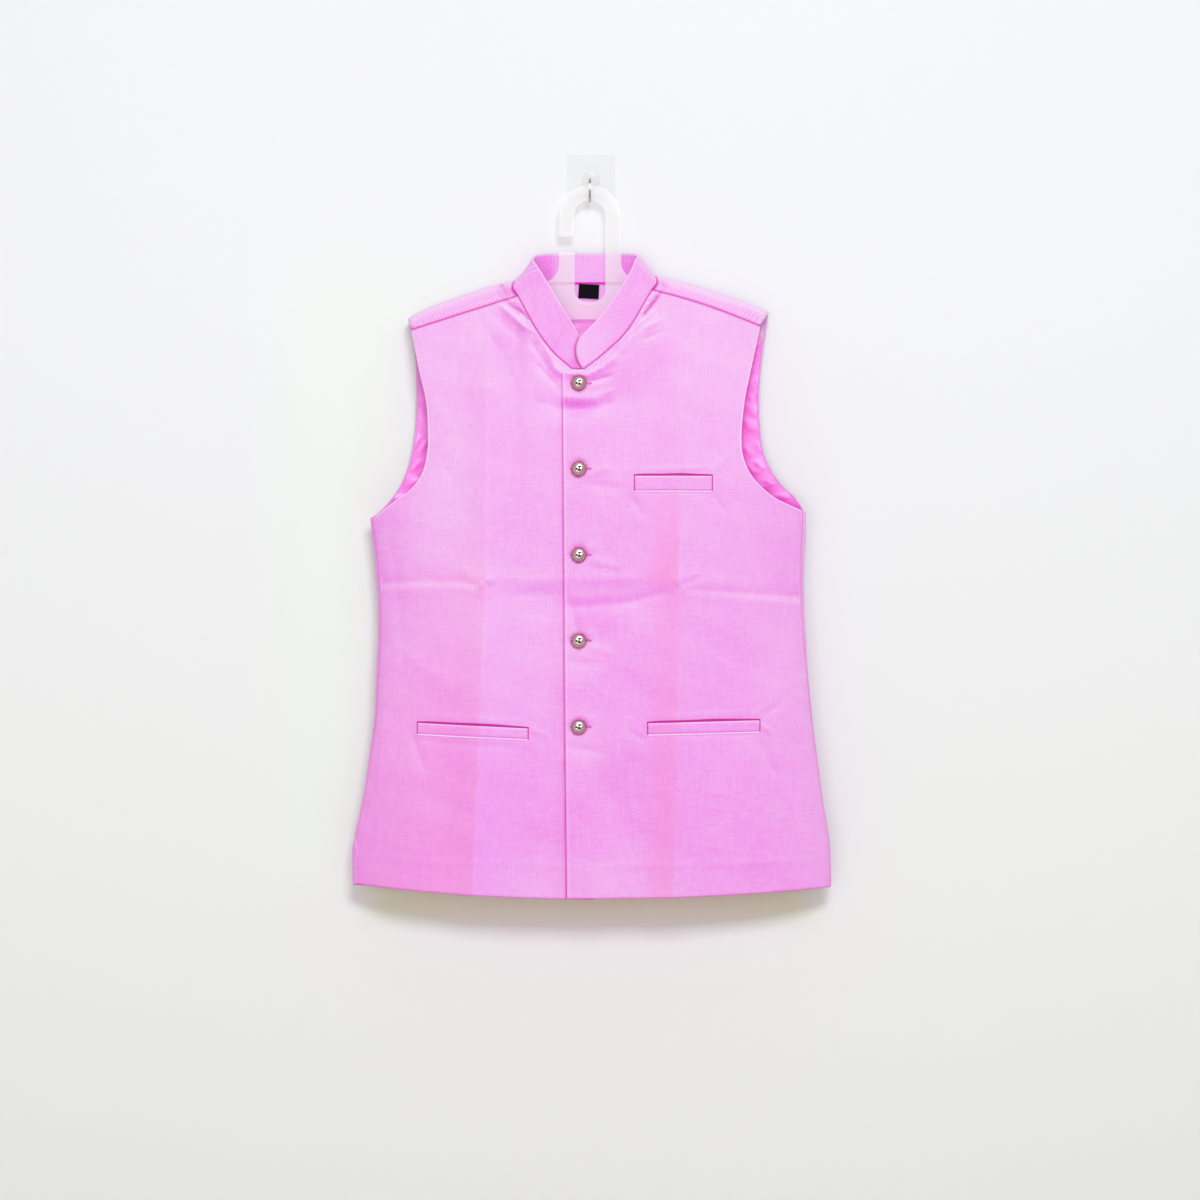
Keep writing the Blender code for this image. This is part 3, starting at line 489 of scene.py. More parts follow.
def sewn(run, width=0.9 * MM):
    """1 on a seam and 0 a little away from it."""
    return np.exp(-((run / width) ** 2))


print("next to an edge, a sheet has rows at", *EDGE_RINGS, "mm")

# %% How pale the cloth is: painted light and shade
PLAIN_TONE = 0.27  # how pale plain cloth is, from its deepest to its palest colour
# SHOULDER_TONE, TILT_TONE and SIDE_TONE are painted light: paler higher up, and where the cloth faces up or
# towards +X, where the key light stands; RIM_TONE is a painted highlight along rolled edges
SHOULDER_TONE = 0.17
TILT_TONE = 0.70
SIDE_TONE = 0.14
RIM_TONE = 0.45
LIT_AND_SHADED_PATCHES = (
    # middle across and level, half width and half height, how much paler with painted light; below 0 is
    # deeper with painted shade
    # painted light where the cloth stands up, and takes more light, beside the right front's long crease
    (-160, -420, 42, 125, 0.15),
    (-95, -552, 55, 105, 0.13),
    (-215, -610, 30, 70, 0.08),
    # painted light where it bulges under the two lowest buttons, and over the turned-up hem
    (-10, -552, 26, 34, 0.12),
    (-10, -650, 24, 40, 0.12),
    (-13, -822, 125, 48, 0.14),
    # painted shade in the hollows under the top button, on both sides of the collar and under the waist's
    # crease
    (-16, -268, 18, 11, -0.32),
    (-90, -196, 26, 28, -0.1),
    (58, -219, 46, 36, -0.11),
    (10, -512, 30, 16, -0.14),
    # painted light and shade on the two flanks of the waist's crease, and painted shade on the side that
    # turns away
    (-6, -478, 30, 8, 0.1),
    (-6, -492, 34, 8, -0.09),
    (223, -400, 36, 90, -0.09),
)


def paleness(points, outward, rim=0.0, patches=LIT_AND_SHADED_PATCHES):
    """Painted light and shade: the cloth is painted paler towards the shoulders, where it faces up or towards
    +X, and along the rim of a rolled edge as a painted highlight.
    """
    x, z = points[..., 0] / MM, points[..., 2] / MM
    # painted light towards the shoulders, and painted light or shade in the patches
    painted_tone = PLAIN_TONE + SHOULDER_TONE * step((z + 800) / 550)
    for across, level, wide, high, paler in patches:
        painted_tone = painted_tone + paler * step(1.3 - 0.8 * np.hypot((x - across) / wide, (z - level) / high))
    # painted light: paler where the cloth faces up or towards +X
    tilt = TILT_TONE * np.clip(outward[..., 2], -0.4, 0.7) + SIDE_TONE * np.clip(outward[..., 0], -0.5, 0.5)
    return np.clip(painted_tone + tilt + RIM_TONE * rim, 0, 1)


print("plain cloth's paleness is", PLAIN_TONE, "and", len(LIT_AND_SHADED_PATCHES), "patches differ from it")

# %% The sheet itself
def cloth_map(points, middle):
    """A UV map in metres, whose lines stay level and upright. middle is the column to start from."""
    step_u = np.diff(points, axis=0)[..., [0, 1]]
    step_v = np.diff(points, axis=1)[..., [1, 2]]
    u = np.cumsum(np.pad(np.linalg.norm(step_u, axis=-1), [(1, 0), (0, 0)]), axis=0)
    v = np.cumsum(np.pad(np.linalg.norm(step_v, axis=-1), [(0, 0), (1, 0)]), axis=1)
    return np.stack([u - u[middle] + points[middle, :, 0], v + points[:, :1, 2]], axis=-1)


def sheet_mesh(points, uv, seam=0.0, rosy=0.0, pale=PLAIN_TONE, keep=None):
    """A mesh from a grid of points. keep says which of its squares stay."""
    columns, rows = points.shape[0] - 1, points.shape[1] - 1
    bm = bmesh.new()
    bmesh.ops.create_grid(bm, x_segments=columns, y_segments=rows, size=1)
    bm.verts.ensure_lookup_table()
    maps = bm.loops.layers.uv.new("cloth")
    layers = [bm.verts.layers.float.new(field) for field in ("seam", "rosy", "pale")]
    fields = [np.broadcast_to(field, points.shape[:2]) for field in (seam, rosy, pale)]
    place = {}
    for vert in bm.verts:
        i = round((vert.co.x + 1) / 2 * columns)
        j = round((vert.co.y + 1) / 2 * rows)
        place[vert] = (i, j)
        vert.co = points[i, j]
        for layer, field in zip(layers, fields):
            vert[layer] = float(field[i, j])
    spare = []
    for face in bm.faces:
        for loop in face.loops:
            loop[maps].uv = uv[place[loop.vert]]
        column, row = (min(place[corner][k] for corner in face.verts) for k in (0, 1))
        if keep is not None and not keep[column, row]:
            spare.append(face)
    bmesh.ops.delete(bm, geom=spare, context="FACES")
    return bm


def as_object(name, bm, *materials):
    mesh = bpy.data.meshes.new(name)
    bm.to_mesh(mesh)
    bm.free()
    for material in materials:
        mesh.materials.append(material)
    mesh.shade_smooth()
    obj = bpy.data.objects.new(name, mesh)
    bpy.context.scene.collection.objects.link(obj)
    return obj


def thicken(obj, thickness, lined=False):
    """Half the thickness on each side. lined gives the inner side the second material."""
    wall = obj.modifiers.new("thickness", "SOLIDIFY")
    wall.thickness = thickness
    wall.offset = 0
    wall.use_quality_normals = True
    wall.material_offset = 1 if lined else 0
    return obj


def flat_area(points, keep=None):
    """The area of a grid of cloth, in square metres."""
    a = points[1:, 1:] - points[:-1, :-1]
    b = points[:-1, 1:] - points[1:, :-1]
    areas = np.linalg.norm(np.cross(a, b), axis=-1) / 2
    return float(areas[keep].sum() if keep is not None else areas.sum())


metre = np.stack([*np.meshgrid((0.0, 1.0), (0.0, 1.0)), np.zeros((2, 2))], axis=-1)
print("a grid one metre wide and high has an area of", flat_area(metre), "m2")

# %% [markdown]
# ## Writing materials
#
# A node tree is easier to read as sums. The small class below holds one socket, and Python's own
# operators add the Math nodes, so that `1 - mask` works as it looks. Every other kind of node
# comes from its method `node`. What is used most, such as noise or one coordinate of a place, has a
# short method of its own.

# %% A socket that can be reckoned with
class Wire:
    """One output socket of a material's nodes."""

    def __init__(self, tree, socket=None):
        self.tree, self.socket = tree, socket

    def node(self, kind, settings=None, sockets=None, output=0):
        made = self.tree.nodes.new("ShaderNode" + kind)
        settings = dict(settings or {})
        stops = settings.pop("stops", None)
        for name, value in settings.items():
            setattr(made, name, value)
        if stops:
            ramp = made.color_ramp.elements
            while len(ramp) < len(stops):
                ramp.new(1.0)
            for element, (position, colour) in zip(ramp, stops):
                element.position, element.color = position, colour
        for name, value in (sockets or {}).items():
            if isinstance(value, Wire):
                self.tree.links.new(value.socket, made.inputs[name])
            else:
                made.inputs[name].default_value = value
        return Wire(self.tree, made.outputs[output])

    def math(self, operation, *values):
        return self.node("Math", {"operation": operation}, dict(enumerate(values)))

    def __add__(self, other):
        return self.math("ADD", self, other)

    def __sub__(self, other):
        return self.math("SUBTRACT", self, other)

    def __rsub__(self, other):
        return self.math("SUBTRACT", other, self)

    def __mul__(self, other):
        return self.math("MULTIPLY", self, other)

    def __truediv__(self, other):
        return self.math("DIVIDE", self, other)

    __radd__ = __add__
    __rmul__ = __mul__

    def sine(self):
        return self.math("SINE", self)

    def part(self, k):
        """Coordinate 0, 1 or 2 of a place."""
        return self.node("SeparateXYZ", None, {"Vector": self}, output=k)

    def noise(self, scale, detail=2.0, flat=False):
        """Noise at a place, with so many waves a metre. flat leaves out the third coordinate."""
        settings = {"noise_dimensions": "2D"} if flat else None
        return self.node("TexNoise", settings, {"Vector": self, "Scale": scale, "Detail": detail})

    def limited(self):
        return self.node("Clamp", None, {"Value": self})

    def ramp(self, start, length):
        """0 before start, and 1 beyond start + length. A length below 0 runs the other way."""
        return ((self - start) / length).limited()

    def blend(self, first, second):
        """first where this is 0, and second where it is 1: two colours."""
        mix = {"data_type": "RGBA", "clamp_factor": True}
        return self.node("Mix", mix, {0: self, 6: first, 7: second}, output=2)


def new_finish(name, **constants):
    """A material, its node tree as a Wire, and its Principled shader with those constants set."""
    material = bpy.data.materials.new(name)
    material.use_nodes = True
    tree = material.node_tree
    shader = tree.nodes["Principled BSDF"]
    for socket, value in constants.items():
        shader.inputs[socket.replace("_", " ")].default_value = value
    return material, Wire(tree), shader


def plug(wire, shader, socket):
    wire.tree.links.new(wire.socket, shader.inputs[socket])


def linear(red, green, blue):
    """A colour that was read as 0 to 255 on a screen, as the shader wants it."""
    parts = [value / 255 for value in (red, green, blue)]
    return (*[p / 12.92 if p <= 0.04045 else ((p + 0.055) / 1.055) ** 2.4 for p in parts], 1.0)


print("a middle grey, as the shader wants it:", round(linear(128, 128, 128)[0], 3))

# %% [markdown]
# ## The suiting
#
# The cloth is a light bird's-eye suiting: pale and deep pink threads cross in tiny checks, about a
# millimetre and a half apart, and now and then a thread is thicker than its neighbours. An image
# would blur close up, so the weave is worked out from the UV map: waves across, times waves up,
# make the checks, and a slow noise shifts them, so that they don't look printed. The same height
# feeds the bump. Seams are darker, because the cloth turns in there, and the same deep colour is
# painted shade in sharp folds, along the hem, beside the lapped edge and round the buttons. The
# rosy number paints warm and cool light, and the pale number carries painted light and shade.

# %% The suiting's material
CHECK = (2.67 * MM, 3.28 * MM)  # the bird's-eye's repeat, across and up
DEEPEST = linear(239, 125, 229)
PALEST = linear(247, 218, 248)
# ROSY and LILAC are the colours of painted warm and cool light
ROSY = linear(248, 144, 208)
LILAC = linear(237, 158, 251)
# SEAM_SHADE is the seams' own deep colour, and also painted shade in folds, along the hem, beside the lapped
# edge and round the buttons
SEAM_SHADE = linear(220, 10, 176)
LEVEL_SLUB, UPRIGHT_SLUB = (26 * MM, 1.2 * MM), (34 * MM, 1.3 * MM)  # a thick thread's length and width
MOST_ROSY = 0.55  # how much of the rosy or the lilac colour the strongest painted warm or cool light takes


def streaks(wire, u, v, long, short, detail=2.0):
    """Noise that is drawn out along u: long and short are its sizes in metres."""
    stretched = wire.node("CombineXYZ", None, {"X": u / long, "Y": v / short})
    noise = {"Vector": stretched, "Scale": 1.0, "Detail": detail, "Roughness": 0.55}
    return wire.node("TexNoise", {"noise_dimensions": "2D"}, noise)


def cloth_coordinates(wire):
    """The sheet's own u and v, in metres."""
    at = wire.node("UVMap", {"uv_map": "cloth"})
    return at, at.part(0), at.part(1)


def attribute(wire, name):
    return wire.node("Attribute", {"attribute_name": name}, output="Fac")


def suiting(name, weave=1.0):
    material, wire, shader = new_finish(
        name, Sheen_Weight=0.12, Sheen_Roughness=0.5, Sheen_Tint=linear(255, 232, 252),
        Specular_IOR_Level=0.2,
    )
    at, u, v = cloth_coordinates(wire)
    wander = at.noise(60.0, 1.0, flat=True)
    slip = (wander - 0.5) * 3.0
    checks = (u * (2 * math.pi / CHECK[0]) + slip).sine() * (v * (2 * math.pi / CHECK[1]) - slip).sine()
    level = streaks(wire, u, v, *LEVEL_SLUB)
    upright = streaks(wire, v, u, *UPRIGHT_SLUB)
    cloudy = at.noise(16.0, 3.0, flat=True)
    patchy = at.noise(110.0, flat=True)
    nap = at.noise(620.0, flat=True)
    # the pale number carries painted light and shade
    tone = attribute(wire, "pale") + checks * (0.1 + patchy * 0.34) * weave
    tone = tone + (level - 0.5) * 0.24 + (upright - 0.5) * 0.2 + (cloudy - 0.5) * 0.16 + (nap - 0.5) * 0.42
    tone = tone + (patchy - 0.5) * 0.15
    base = tone.limited().blend(DEEPEST, PALEST)
    # painted warm light towards ROSY, painted cool light towards LILAC
    warmth = attribute(wire, "rosy")
    base = (warmth * MOST_ROSY).blend(base, ROSY)
    base = (warmth * -MOST_ROSY).blend(base, LILAC)
    # the seams' own colour, and painted shade
    base = (attribute(wire, "seam") * 0.9).blend(base, SEAM_SHADE)
    plug(base, shader, "Base Color")
    plug(0.7 + (level - 0.5) * 0.2, shader, "Roughness")
    height = checks * 0.7 + level * 0.6 + upright * 0.5 + nap * 0.9
    bump = wire.node("Bump", None, {"Height": height, "Strength": 0.4, "Distance": 0.16 * MM})
    plug(bump, shader, "Normal")
    return material


jacket_cloth = suiting("jacket_cloth")
band_cloth = suiting("band_cloth", 1.3)  # the stiff backing keeps its weave flat, so it shows more
print(jacket_cloth.name, "has", len(jacket_cloth.node_tree.nodes), "nodes")

# %% [markdown]
# ## Satin, thread and the label's cloth
#
# The lining is satin: long threads float on its face, so it is smooth, shines softly and has
# fine slanting lines. The sewing thread is a smooth twisted line. The label is a bare black tape
# with fine ribs.

# %% Satin, thread and tape
SATIN = linear(252, 186, 250)
SATIN_DEEP = linear(236, 84, 204)
# SATIN_GLOW is a faint painted glow, standing in for light that comes through the thin satin, so the lining
# looks bright in the armholes' shade
SATIN_GLOW = linear(250, 130, 236)


def satin(name):
    material, wire, shader = new_finish(
        name, Sheen_Weight=0.1, Specular_IOR_Level=0.55,
        Emission_Color=SATIN_GLOW, Emission_Strength=0.1,
    )
    at, u, v = cloth_coordinates(wire)
    floats = streaks(wire, u + v * 0.4, v - u * 0.4, 24 * MM, 0.5 * MM)
    cloudy = at.noise(22.0, flat=True)
    tone = attribute(wire, "pale") + (floats - 0.5) * 0.6 + (cloudy - 0.5) * 0.5
    base = tone.limited().blend(SATIN_DEEP, SATIN)
    plug((attribute(wire, "seam") * 0.7).blend(base, SEAM_SHADE), shader, "Base Color")
    plug(0.36 + (floats - 0.5) * 0.16, shader, "Roughness")
    bump = wire.node("Bump", None, {"Height": floats, "Strength": 0.3, "Distance": 0.08 * MM})
    plug(bump, shader, "Normal")
    return material


def thread(name, pale, deep, lines=0.9 * MM, sheen=0.2, gloss=0.5):
    """Thread or tape: fine ribs across Z and X in the object's own coordinates."""
    material, wire, shader = new_finish(
        name, Sheen_Weight=sheen, Specular_IOR_Level=gloss, Roughness=0.6
    )
    at = wire.node("TexCoord", output="Object")
    x, z = at.part(0), at.part(2)
    turn = 2 * math.pi / lines
    ribs = (z * turn).sine() * 0.5 + ((x + z) * turn * 0.7).sine() * 0.3
    speckle = at.noise(1800.0)
    plug((0.5 + ribs * 0.4 + (speckle - 0.5)).limited().blend(deep, pale), shader, "Base Color")
    bump = wire.node("Bump", None, {"Height": ribs + speckle, "Strength": 0.4, "Distance": 0.1 * MM})
    plug(bump, shader, "Normal")
    return material


lining_satin = satin("lining_satin")
pink_thread = thread("pink_thread", linear(238, 124, 210), linear(220, 74, 178), 0.5 * MM)
# the pocket's facing is painted dark: painted shade in the pocket's mouth and beside the welt's sewn ends
pocket_shade = thread("pocket_facing_shade", linear(216, 0, 170), linear(190, 0, 138), 0.4 * MM)
label_tape = thread("label_woven", linear(20, 15, 23), linear(5, 3, 8), sheen=0.0, gloss=0.06)
print("also:", ", ".join(made.name for made in (lining_satin, pink_thread, pocket_shade, label_tape)))

# %% [markdown]
# ## The two fronts
#
# Each front is one cut piece: straight down the opening, curved round the neck and the armhole, and
# closed to the back along the shoulder and the side. Rows of the grid run across it, from the
# side seam or the armhole to the front edge or the neckline, so that every edge of the grid is an
# edge of the cloth. The left front laps over the right one, which dips a little under it.

# %% Outlines of the fronts
SHOULDER_SEAMS = (
    # across and level at the arm, across and level at the neck, how far it bows up
    (-206.4, -178, -84.7, -139, 0),
    (194.4, -173.6, 70.4, -132.2, 3.2),
)
RIGHT_FRONT_ARMHOLE = (
    # across, level
    (-249.3, -395.6),
    (-227, -378),
    (-207, -363.5),
    (-193, -344),
    (-187, -318.4),
    (-186.5, -295.9),
    (-188.5, -262),
    (-197, -225),
    (-206.4, -178),
)
LEFT_FRONT_ARMHOLE = (
    (242.6, -387),
    (227, -380.5),
    (207, -370),
    (185, -349),
    (174, -325.5),
    (172, -300),
    (175.6, -262),
    (182.5, -228),
    (194.4, -173.6),
)
RIGHT_FRONT_EDGE = ((3, -831), (4, -600), (4, -390))
RIGHT_EDGE_TOP = (4, -229)
RIGHT_NECKLINE = ((-22.4, -224.2), (-45.2, -203.4), (-65, -175.6), (-84.7, -139))
LEFT_FRONT_EDGE = ((-27.6, -830), (-30, -604), (-31.5, -380))
LEFT_EDGE_TOP = (-33, -228.4)
LEFT_NECKLINE = ((-8.5, -225.2), (14.3, -207.3), (42.1, -179.6), (70.4, -132.2))
HEM_CORNERS = ((-271, -815), (274.5, -818.5))
HEM_BELLY = 3.5 * MM
SIDE_SEAM_INSETS = (
    # level, how far inside the outline the seam lies on the right and on the left
    (-832, 1.0, 0.3),
    (-600, 1.3, 0.5),
    (-520, 1.6, 1.8),
    (-395, 1.4, 2.6),
)
SIDE_SEAM_GAP = 0.5 * MM
BODY_STEPS, EDGE_STEPS, NECK_STEPS = 15, 4, 10  # the panel's rows: below the arm, to the top, to the neck
LAST_STEP = BODY_STEPS + EDGE_STEPS + NECK_STEPS
SIDE_CROWDING = 1.45
OVERLAP_DROP = CLOTH + 0.6 * MM
OVERLAP = (-64 * MM, -38 * MM)
BUTTON_X = -13.9 * MM
BUTTON_LEVELS = [-(241.2 + 98.2 * i) * MM for i in range(5)]
print("each front has", LAST_STEP, "broad rows, and its buttons lie 98.2 mm apart")

# %% Where the rows of a front begin and end
def seam_inset(side, z):
    rows = np.array(SIDE_SEAM_INSETS) * MM
    return np.interp(z, rows[:, 0], rows[:, 1 + side])


def shoulder_seam(side, across):
    """Across and level of the seam on the front of the shoulder, from the arm to the neck."""
    arm_x, arm_z, neck_x, neck_z, bow = (value * MM for value in SHOULDER_SEAMS[side])
    z = mixed(arm_z, neck_z, across) + bow * np.sin(math.pi * across)
    return np.stack([mixed(arm_x, neck_x, across), z], axis=-1)


def row_ends(sign, edge, edge_top, neckline, armhole, hem_corner, rows):
    """Where each row starts, at the side, and where it stops, at the front."""
    arm, edge_line, neck = flat_curve(armhole), flat_curve(edge), flat_curve(neckline)
    corner = np.array(edge_top) * MM
    body = np.clip(rows / BODY_STEPS, 0, 1)
    seam_z = mixed(hem_corner[1] * MM, arm[0, 1], body)
    middle, half = girth(seam_z)
    inset = seam_inset(1 if sign > 0 else 0, seam_z) + SIDE_SEAM_GAP
    seam = np.stack([middle + sign * (half - inset), seam_z], axis=-1)
    above = rows[:, None] - BODY_STEPS
    outer = np.where(above <= 0, seam, along(arm, np.clip(above[:, 0] / (EDGE_STEPS + NECK_STEPS), 0, 1)))
    past = above - EDGE_STEPS
    lap = mixed(edge_line[-1], corner, np.clip(above / EDGE_STEPS, 0, 1))
    top = mixed(corner, neck[0], np.clip(past, 0, 1))
    collar = along(neck, np.clip((past[:, 0] - 1) / (NECK_STEPS - 1), 0, 1))
    past_lap = np.where(past <= 1, top, collar)
    inner = np.where(above <= 0, along(edge_line, body), np.where(past <= 0, lap, past_lap))
    return outer, inner

# %% A point on the front
def front_normal(x, z):
    """Out of the front, towards the viewer."""
    h = 2 * MM
    slope_x = (front_y(x + h, z) - front_y(x - h, z)) / (2 * h)
    slope_z = (front_y(x, z + h) - front_y(x, z - h)) / (2 * h)
    out = np.stack([slope_x, -np.ones_like(slope_x), slope_z], axis=-1)
    return out / np.linalg.norm(out, axis=-1, keepdims=True)


DIMPLE = 2.3 * MM
DIMPLE_RADIUS = 12.5 * MM


def front_relief(x, z):
    """How far the cloth stands out of the plain form: creases, wander, and a dip at each button."""
    dip = sum(
        1 - step(np.hypot((x - BUTTON_X) / 1.3, z - level) / DIMPLE_RADIUS) for level in BUTTON_LEVELS
    )
    return crease_height(FRONT_CREASES, x, z) + unevenness(x, z, 3) - DIMPLE * dip


def on_front(x, z, out=0.0):
    """A point of the creased front, moved out along its normal."""
    x, z = np.asarray(x, float), np.asarray(z, float)
    lift = front_relief(x, z) + out
    return np.stack([x, front_y(x, z), z], axis=-1) + front_normal(x, z) * lift[..., None]


print("a point on the chest:", np.round(on_front(0.0, -0.4), 4))

# %% Painted warm and cool light beside the long creases
WARM_AND_COOL_LIGHT_STRIPS = (
    # down the fold from x, z, to x, z, width and strength of the painted warm side, then of the painted cool
    # side
    (-116, -190, -120, -472, 50, 0.12, 40, 0.15),
    (-120, -472, -136, -850, 115, 0.62, 90, 0.45),
    (101.5, -370, 100, -472, 50, 0.9, 60, 0.15),
    (-228, -600, -238, -860, 60, 0.42, 90, -0.42),
    (100, -472, 93, -850, 46, 0.8, 120, 0.1),
)


def rosiness(x, z):
    """Above 0 where painted warm light makes the cloth rosy, and below 0 where painted cool light makes it
    lilac.
    """
    total = 0.0
    for *line, rosy_width, rosy, lilac_width, lilac in WARM_AND_COOL_LIGHT_STRIPS:
        t, off = off_line(line, x, z)
        beside = step((off + 0.9 * MM) / (1.8 * MM))
        warm = rosy * step(1 + off / (rosy_width * MM))
        cool = lilac * step(1 - off / (lilac_width * MM))
        inside = step((t + 0.12) / 0.12) * step((1.0 - t) / 0.03 + 1) * mixed(0.55, 1.0, step(t))
        total = total + mixed(warm, -cool, beside) * inside * (z < line[1] * MM + 0.04)
    return np.clip(total, -1, 1)


# these strips are painted warm and cool light
print(len(WARM_AND_COOL_LIGHT_STRIPS), "pairs of strips have faded beside the long creases")

# %% The seams' deep colour, and painted shade in folds, beside the lapped edge and round the buttons
PLACKET_SHADE = ((-0.84, 0.82), (-0.62, 0.78), (-0.27, 0.74), (-0.24, 0.35))  # level, strength of the painted shade along and beside the left front's edge
FRONT_SHADES = (
    # from x, z, to x, z, half width, strength of the painted shade in the fold
    (78, -138, 60, -162, 2.4, 0.55),
    (-97, -146, -82, -160, 2.4, 0.4),
)
BACK_SHADES = ((-104, -126, -94.5, -141, 2.2, 0.65), (80.5, -122, 86, -131, 2.2, 0.4))


def painted_fold_shade(shades, x, z):
    """Painted shade at the bottom of a sharp fold."""
    total = 0 * x
    for *line, width, depth in shades:
        t, off = off_line(line, x, z)
        ends = step((t + 0.15) / 0.3) * step((1.15 - t) / 0.3)
        total = np.maximum(total, depth * ends * np.exp(-((off / (width * MM)) ** 2)))
    return total


def side_seam(run, z):
    """The side seams are pressed flat, and most of all near the hem."""
    return (0.5 - 0.25 * step((-0.62 - z) / 0.08)) * sewn(run, 0.6 * MM)


def button_shade(x, z):
    """Painted shade round each button, where the cloth is pulled in: a ring of painted shadow close by, and
    painted shade in the hollow above it.
    """
    total = 0.0
    for level in BUTTON_LEVELS:
        off_x, off_z = (x - BUTTON_X) / MM, (z - level) / MM
        ring = 0.8 * np.exp(-(((np.hypot(off_x, off_z) - 8.5) / 1.4) ** 2))
        above = 0.34 * np.exp(-((off_x / 7.0) ** 2) - ((off_z - 9.5) / 3.8) ** 2)
        total = total + np.maximum(ring, above)
    return total


print("shade above the top button:", round(float(button_shade(BUTTON_X, BUTTON_LEVELS[0] + 9.5 * MM)), 2))

# %% The grid of one front
def front_grid(side, edge, edge_top, neckline, armhole):
    """Points of one front, its columns running towards +X, and its three fields of colour."""
    sign = 1 if side else -1
    shares = with_edges(spread((0, 1, 150)), 2.4, 2.8) ** SIDE_CROWDING
    top = BODY_STEPS + EDGE_STEPS
    rows = with_edges(
        spread((0, BODY_STEPS, 136), (BODY_STEPS, top, 40), (top, top + 1, 8), (top + 1, LAST_STEP, 50)),
        3.0, 3.1,
    )
    outer, inner = row_ends(sign, edge, edge_top, neckline, armhole, HEM_CORNERS[side], rows)
    t = shares[:, None]
    at = mixed(outer, inner, t[..., None])
    at[..., 1] -= HEM_BELLY * np.sin(math.pi * t) * np.maximum(1 - rows / 4, 0)
    seam = shoulder_seam(side, shares)[:, None] - (0, SEAM_GAP)
    at = mixed(at, seam, np.clip(rows - LAST_STEP + 1, 0, 1)[None, :, None])
    x, z = at[..., 0], at[..., 1]
    plain = np.stack([x, front_y(x, z), z], axis=-1)
    outer_run, inner_run, hem_run, top_run = edge_runs(plain)
    at_side, at_neck = rows <= BODY_STEPS, rows > top + 0.9
    side_run, neck_run = np.where(at_side, outer_run, 1.0), np.where(at_neck, inner_run, 1.0)
    held = step((np.minimum(side_run, neck_run) - 0.5 * MM) / (3.5 * MM))
    roll = rolled(hem_run, 0.5 * MM) + rolled(outer_run, 0.6 * MM) + rolled(inner_run, 0.6 * MM)
    lift = front_relief(x, z) * held - roll - rolled(np.minimum(top_run, neck_run), 0.8 * MM)
    points = plain + front_normal(x, z) * lift[..., None]
    seam = np.maximum(sewn(top_run, 1.4 * MM), sewn(neck_run))
    seam = np.maximum(seam, side_seam(side_run, z))
    # painted shade in the front's sharp folds
    seam = np.maximum(seam, painted_fold_shade(FRONT_SHADES, x, z))
    # painted shade: a dark line along the hem's lower edge
    seam = np.maximum(seam, 0.55 * sewn(hem_run, 0.8 * MM))
    # painted highlight along the armhole's rolled edge, stronger lower down
    low = step((-0.22 - z) / 0.1)
    rim = np.where(at_side, 0.0, (1 + low) * sewn(outer_run - mixed(0.3, 0.8, low) * MM, 0.9 * MM))
    depth = np.interp(z, *zip(*PLACKET_SHADE))
    if side:
        edge_run = np.where(at_neck, 1.0, inner_run)
        upright = np.broadcast_to(rows <= top, z.shape)
        # painted shade along the left front's own edge
        seam = np.maximum(seam, np.where(upright, depth, 0.0) * sewn(edge_run, 0.8 * MM))
        # painted shade round the buttons
        seam = np.maximum(seam, button_shade(x, z))
        # painted highlight two millimetres inside the left front's edge, and along its top edge
        rim = rim + 0.5 * sewn(edge_run - 2.0 * MM, 0.8 * MM) + 0.8 * sewn(edge_run, 0.9 * MM) * ~upright
    else:
        points[..., 1] += OVERLAP_DROP * step((x - OVERLAP[0]) / (OVERLAP[1] - OVERLAP[0]))
        # painted shadow that the lapping left front casts beside its edge on the right front
        edge_line = flat_curve(LEFT_FRONT_EDGE)
        clear = np.maximum(np.interp(z, edge_line[:, 1], edge_line[:, 0]) - x, 0)
        soft_shade = 0.2 * np.exp(-clear / (5 * MM)) * step((-0.5 - z) / 0.2)
        beside = depth * (0.75 * sewn(clear, 1.5 * MM) + soft_shade)
        seam = np.maximum(seam, np.where(z < LEFT_EDGE_TOP[1] * MM, beside, 0.0))
    # rosy is painted warm and cool light, and pale carries painted light and shade
    fields = [points, seam, rosiness(x, z), rim]
    points, seam, rosy, rim = (field[::-1] if side else field for field in fields)
    return points, {"seam": seam, "rosy": rosy, "pale": paleness(points, normals(points), rim)}

# %% Slits for the buttonholes, and the two panels
def cut_slit(bm, middle, half_length, half_height):
    """Cuts a level slit through the sheet, for a buttonhole."""
    x, z = middle
    reach = 8 * MM

    def near():
        faces = [
            f for f in bm.faces
            if abs(f.calc_center_median().x - x) < half_length + reach
            and abs(f.calc_center_median().z - z) < half_height + reach
        ]
        return list({item for f in faces for item in (f, *f.edges, *f.verts)})

    for side, sign in ((0, -1), (0, 1), (2, -1), (2, 1)):
        spot = [x, 0, z]
        spot[side] += sign * (half_length if side == 0 else half_height)
        direction = (1, 0, 0) if side == 0 else (0, 0, 1)
        bmesh.ops.bisect_plane(bm, geom=near(), plane_co=spot, plane_no=direction, dist=1e-7)
    inside = [
        f for f in bm.faces
        if abs(f.calc_center_median().x - x) < half_length and abs(f.calc_center_median().z - z) < half_height
    ]
    bmesh.ops.delete(bm, geom=inside, context="FACES")


SLIT = (-9.6 * MM, 13.2 * MM, 0.3 * MM)  # from, to and height, about its button

right_points, right_fields = front_grid(
    0, RIGHT_FRONT_EDGE, RIGHT_EDGE_TOP, RIGHT_NECKLINE, RIGHT_FRONT_ARMHOLE
)
bm = sheet_mesh(right_points, cloth_map(right_points, -1), **right_fields)
right_front = thicken(as_object("right_front_panel", bm, jacket_cloth, lining_satin), CLOTH, lined=True)

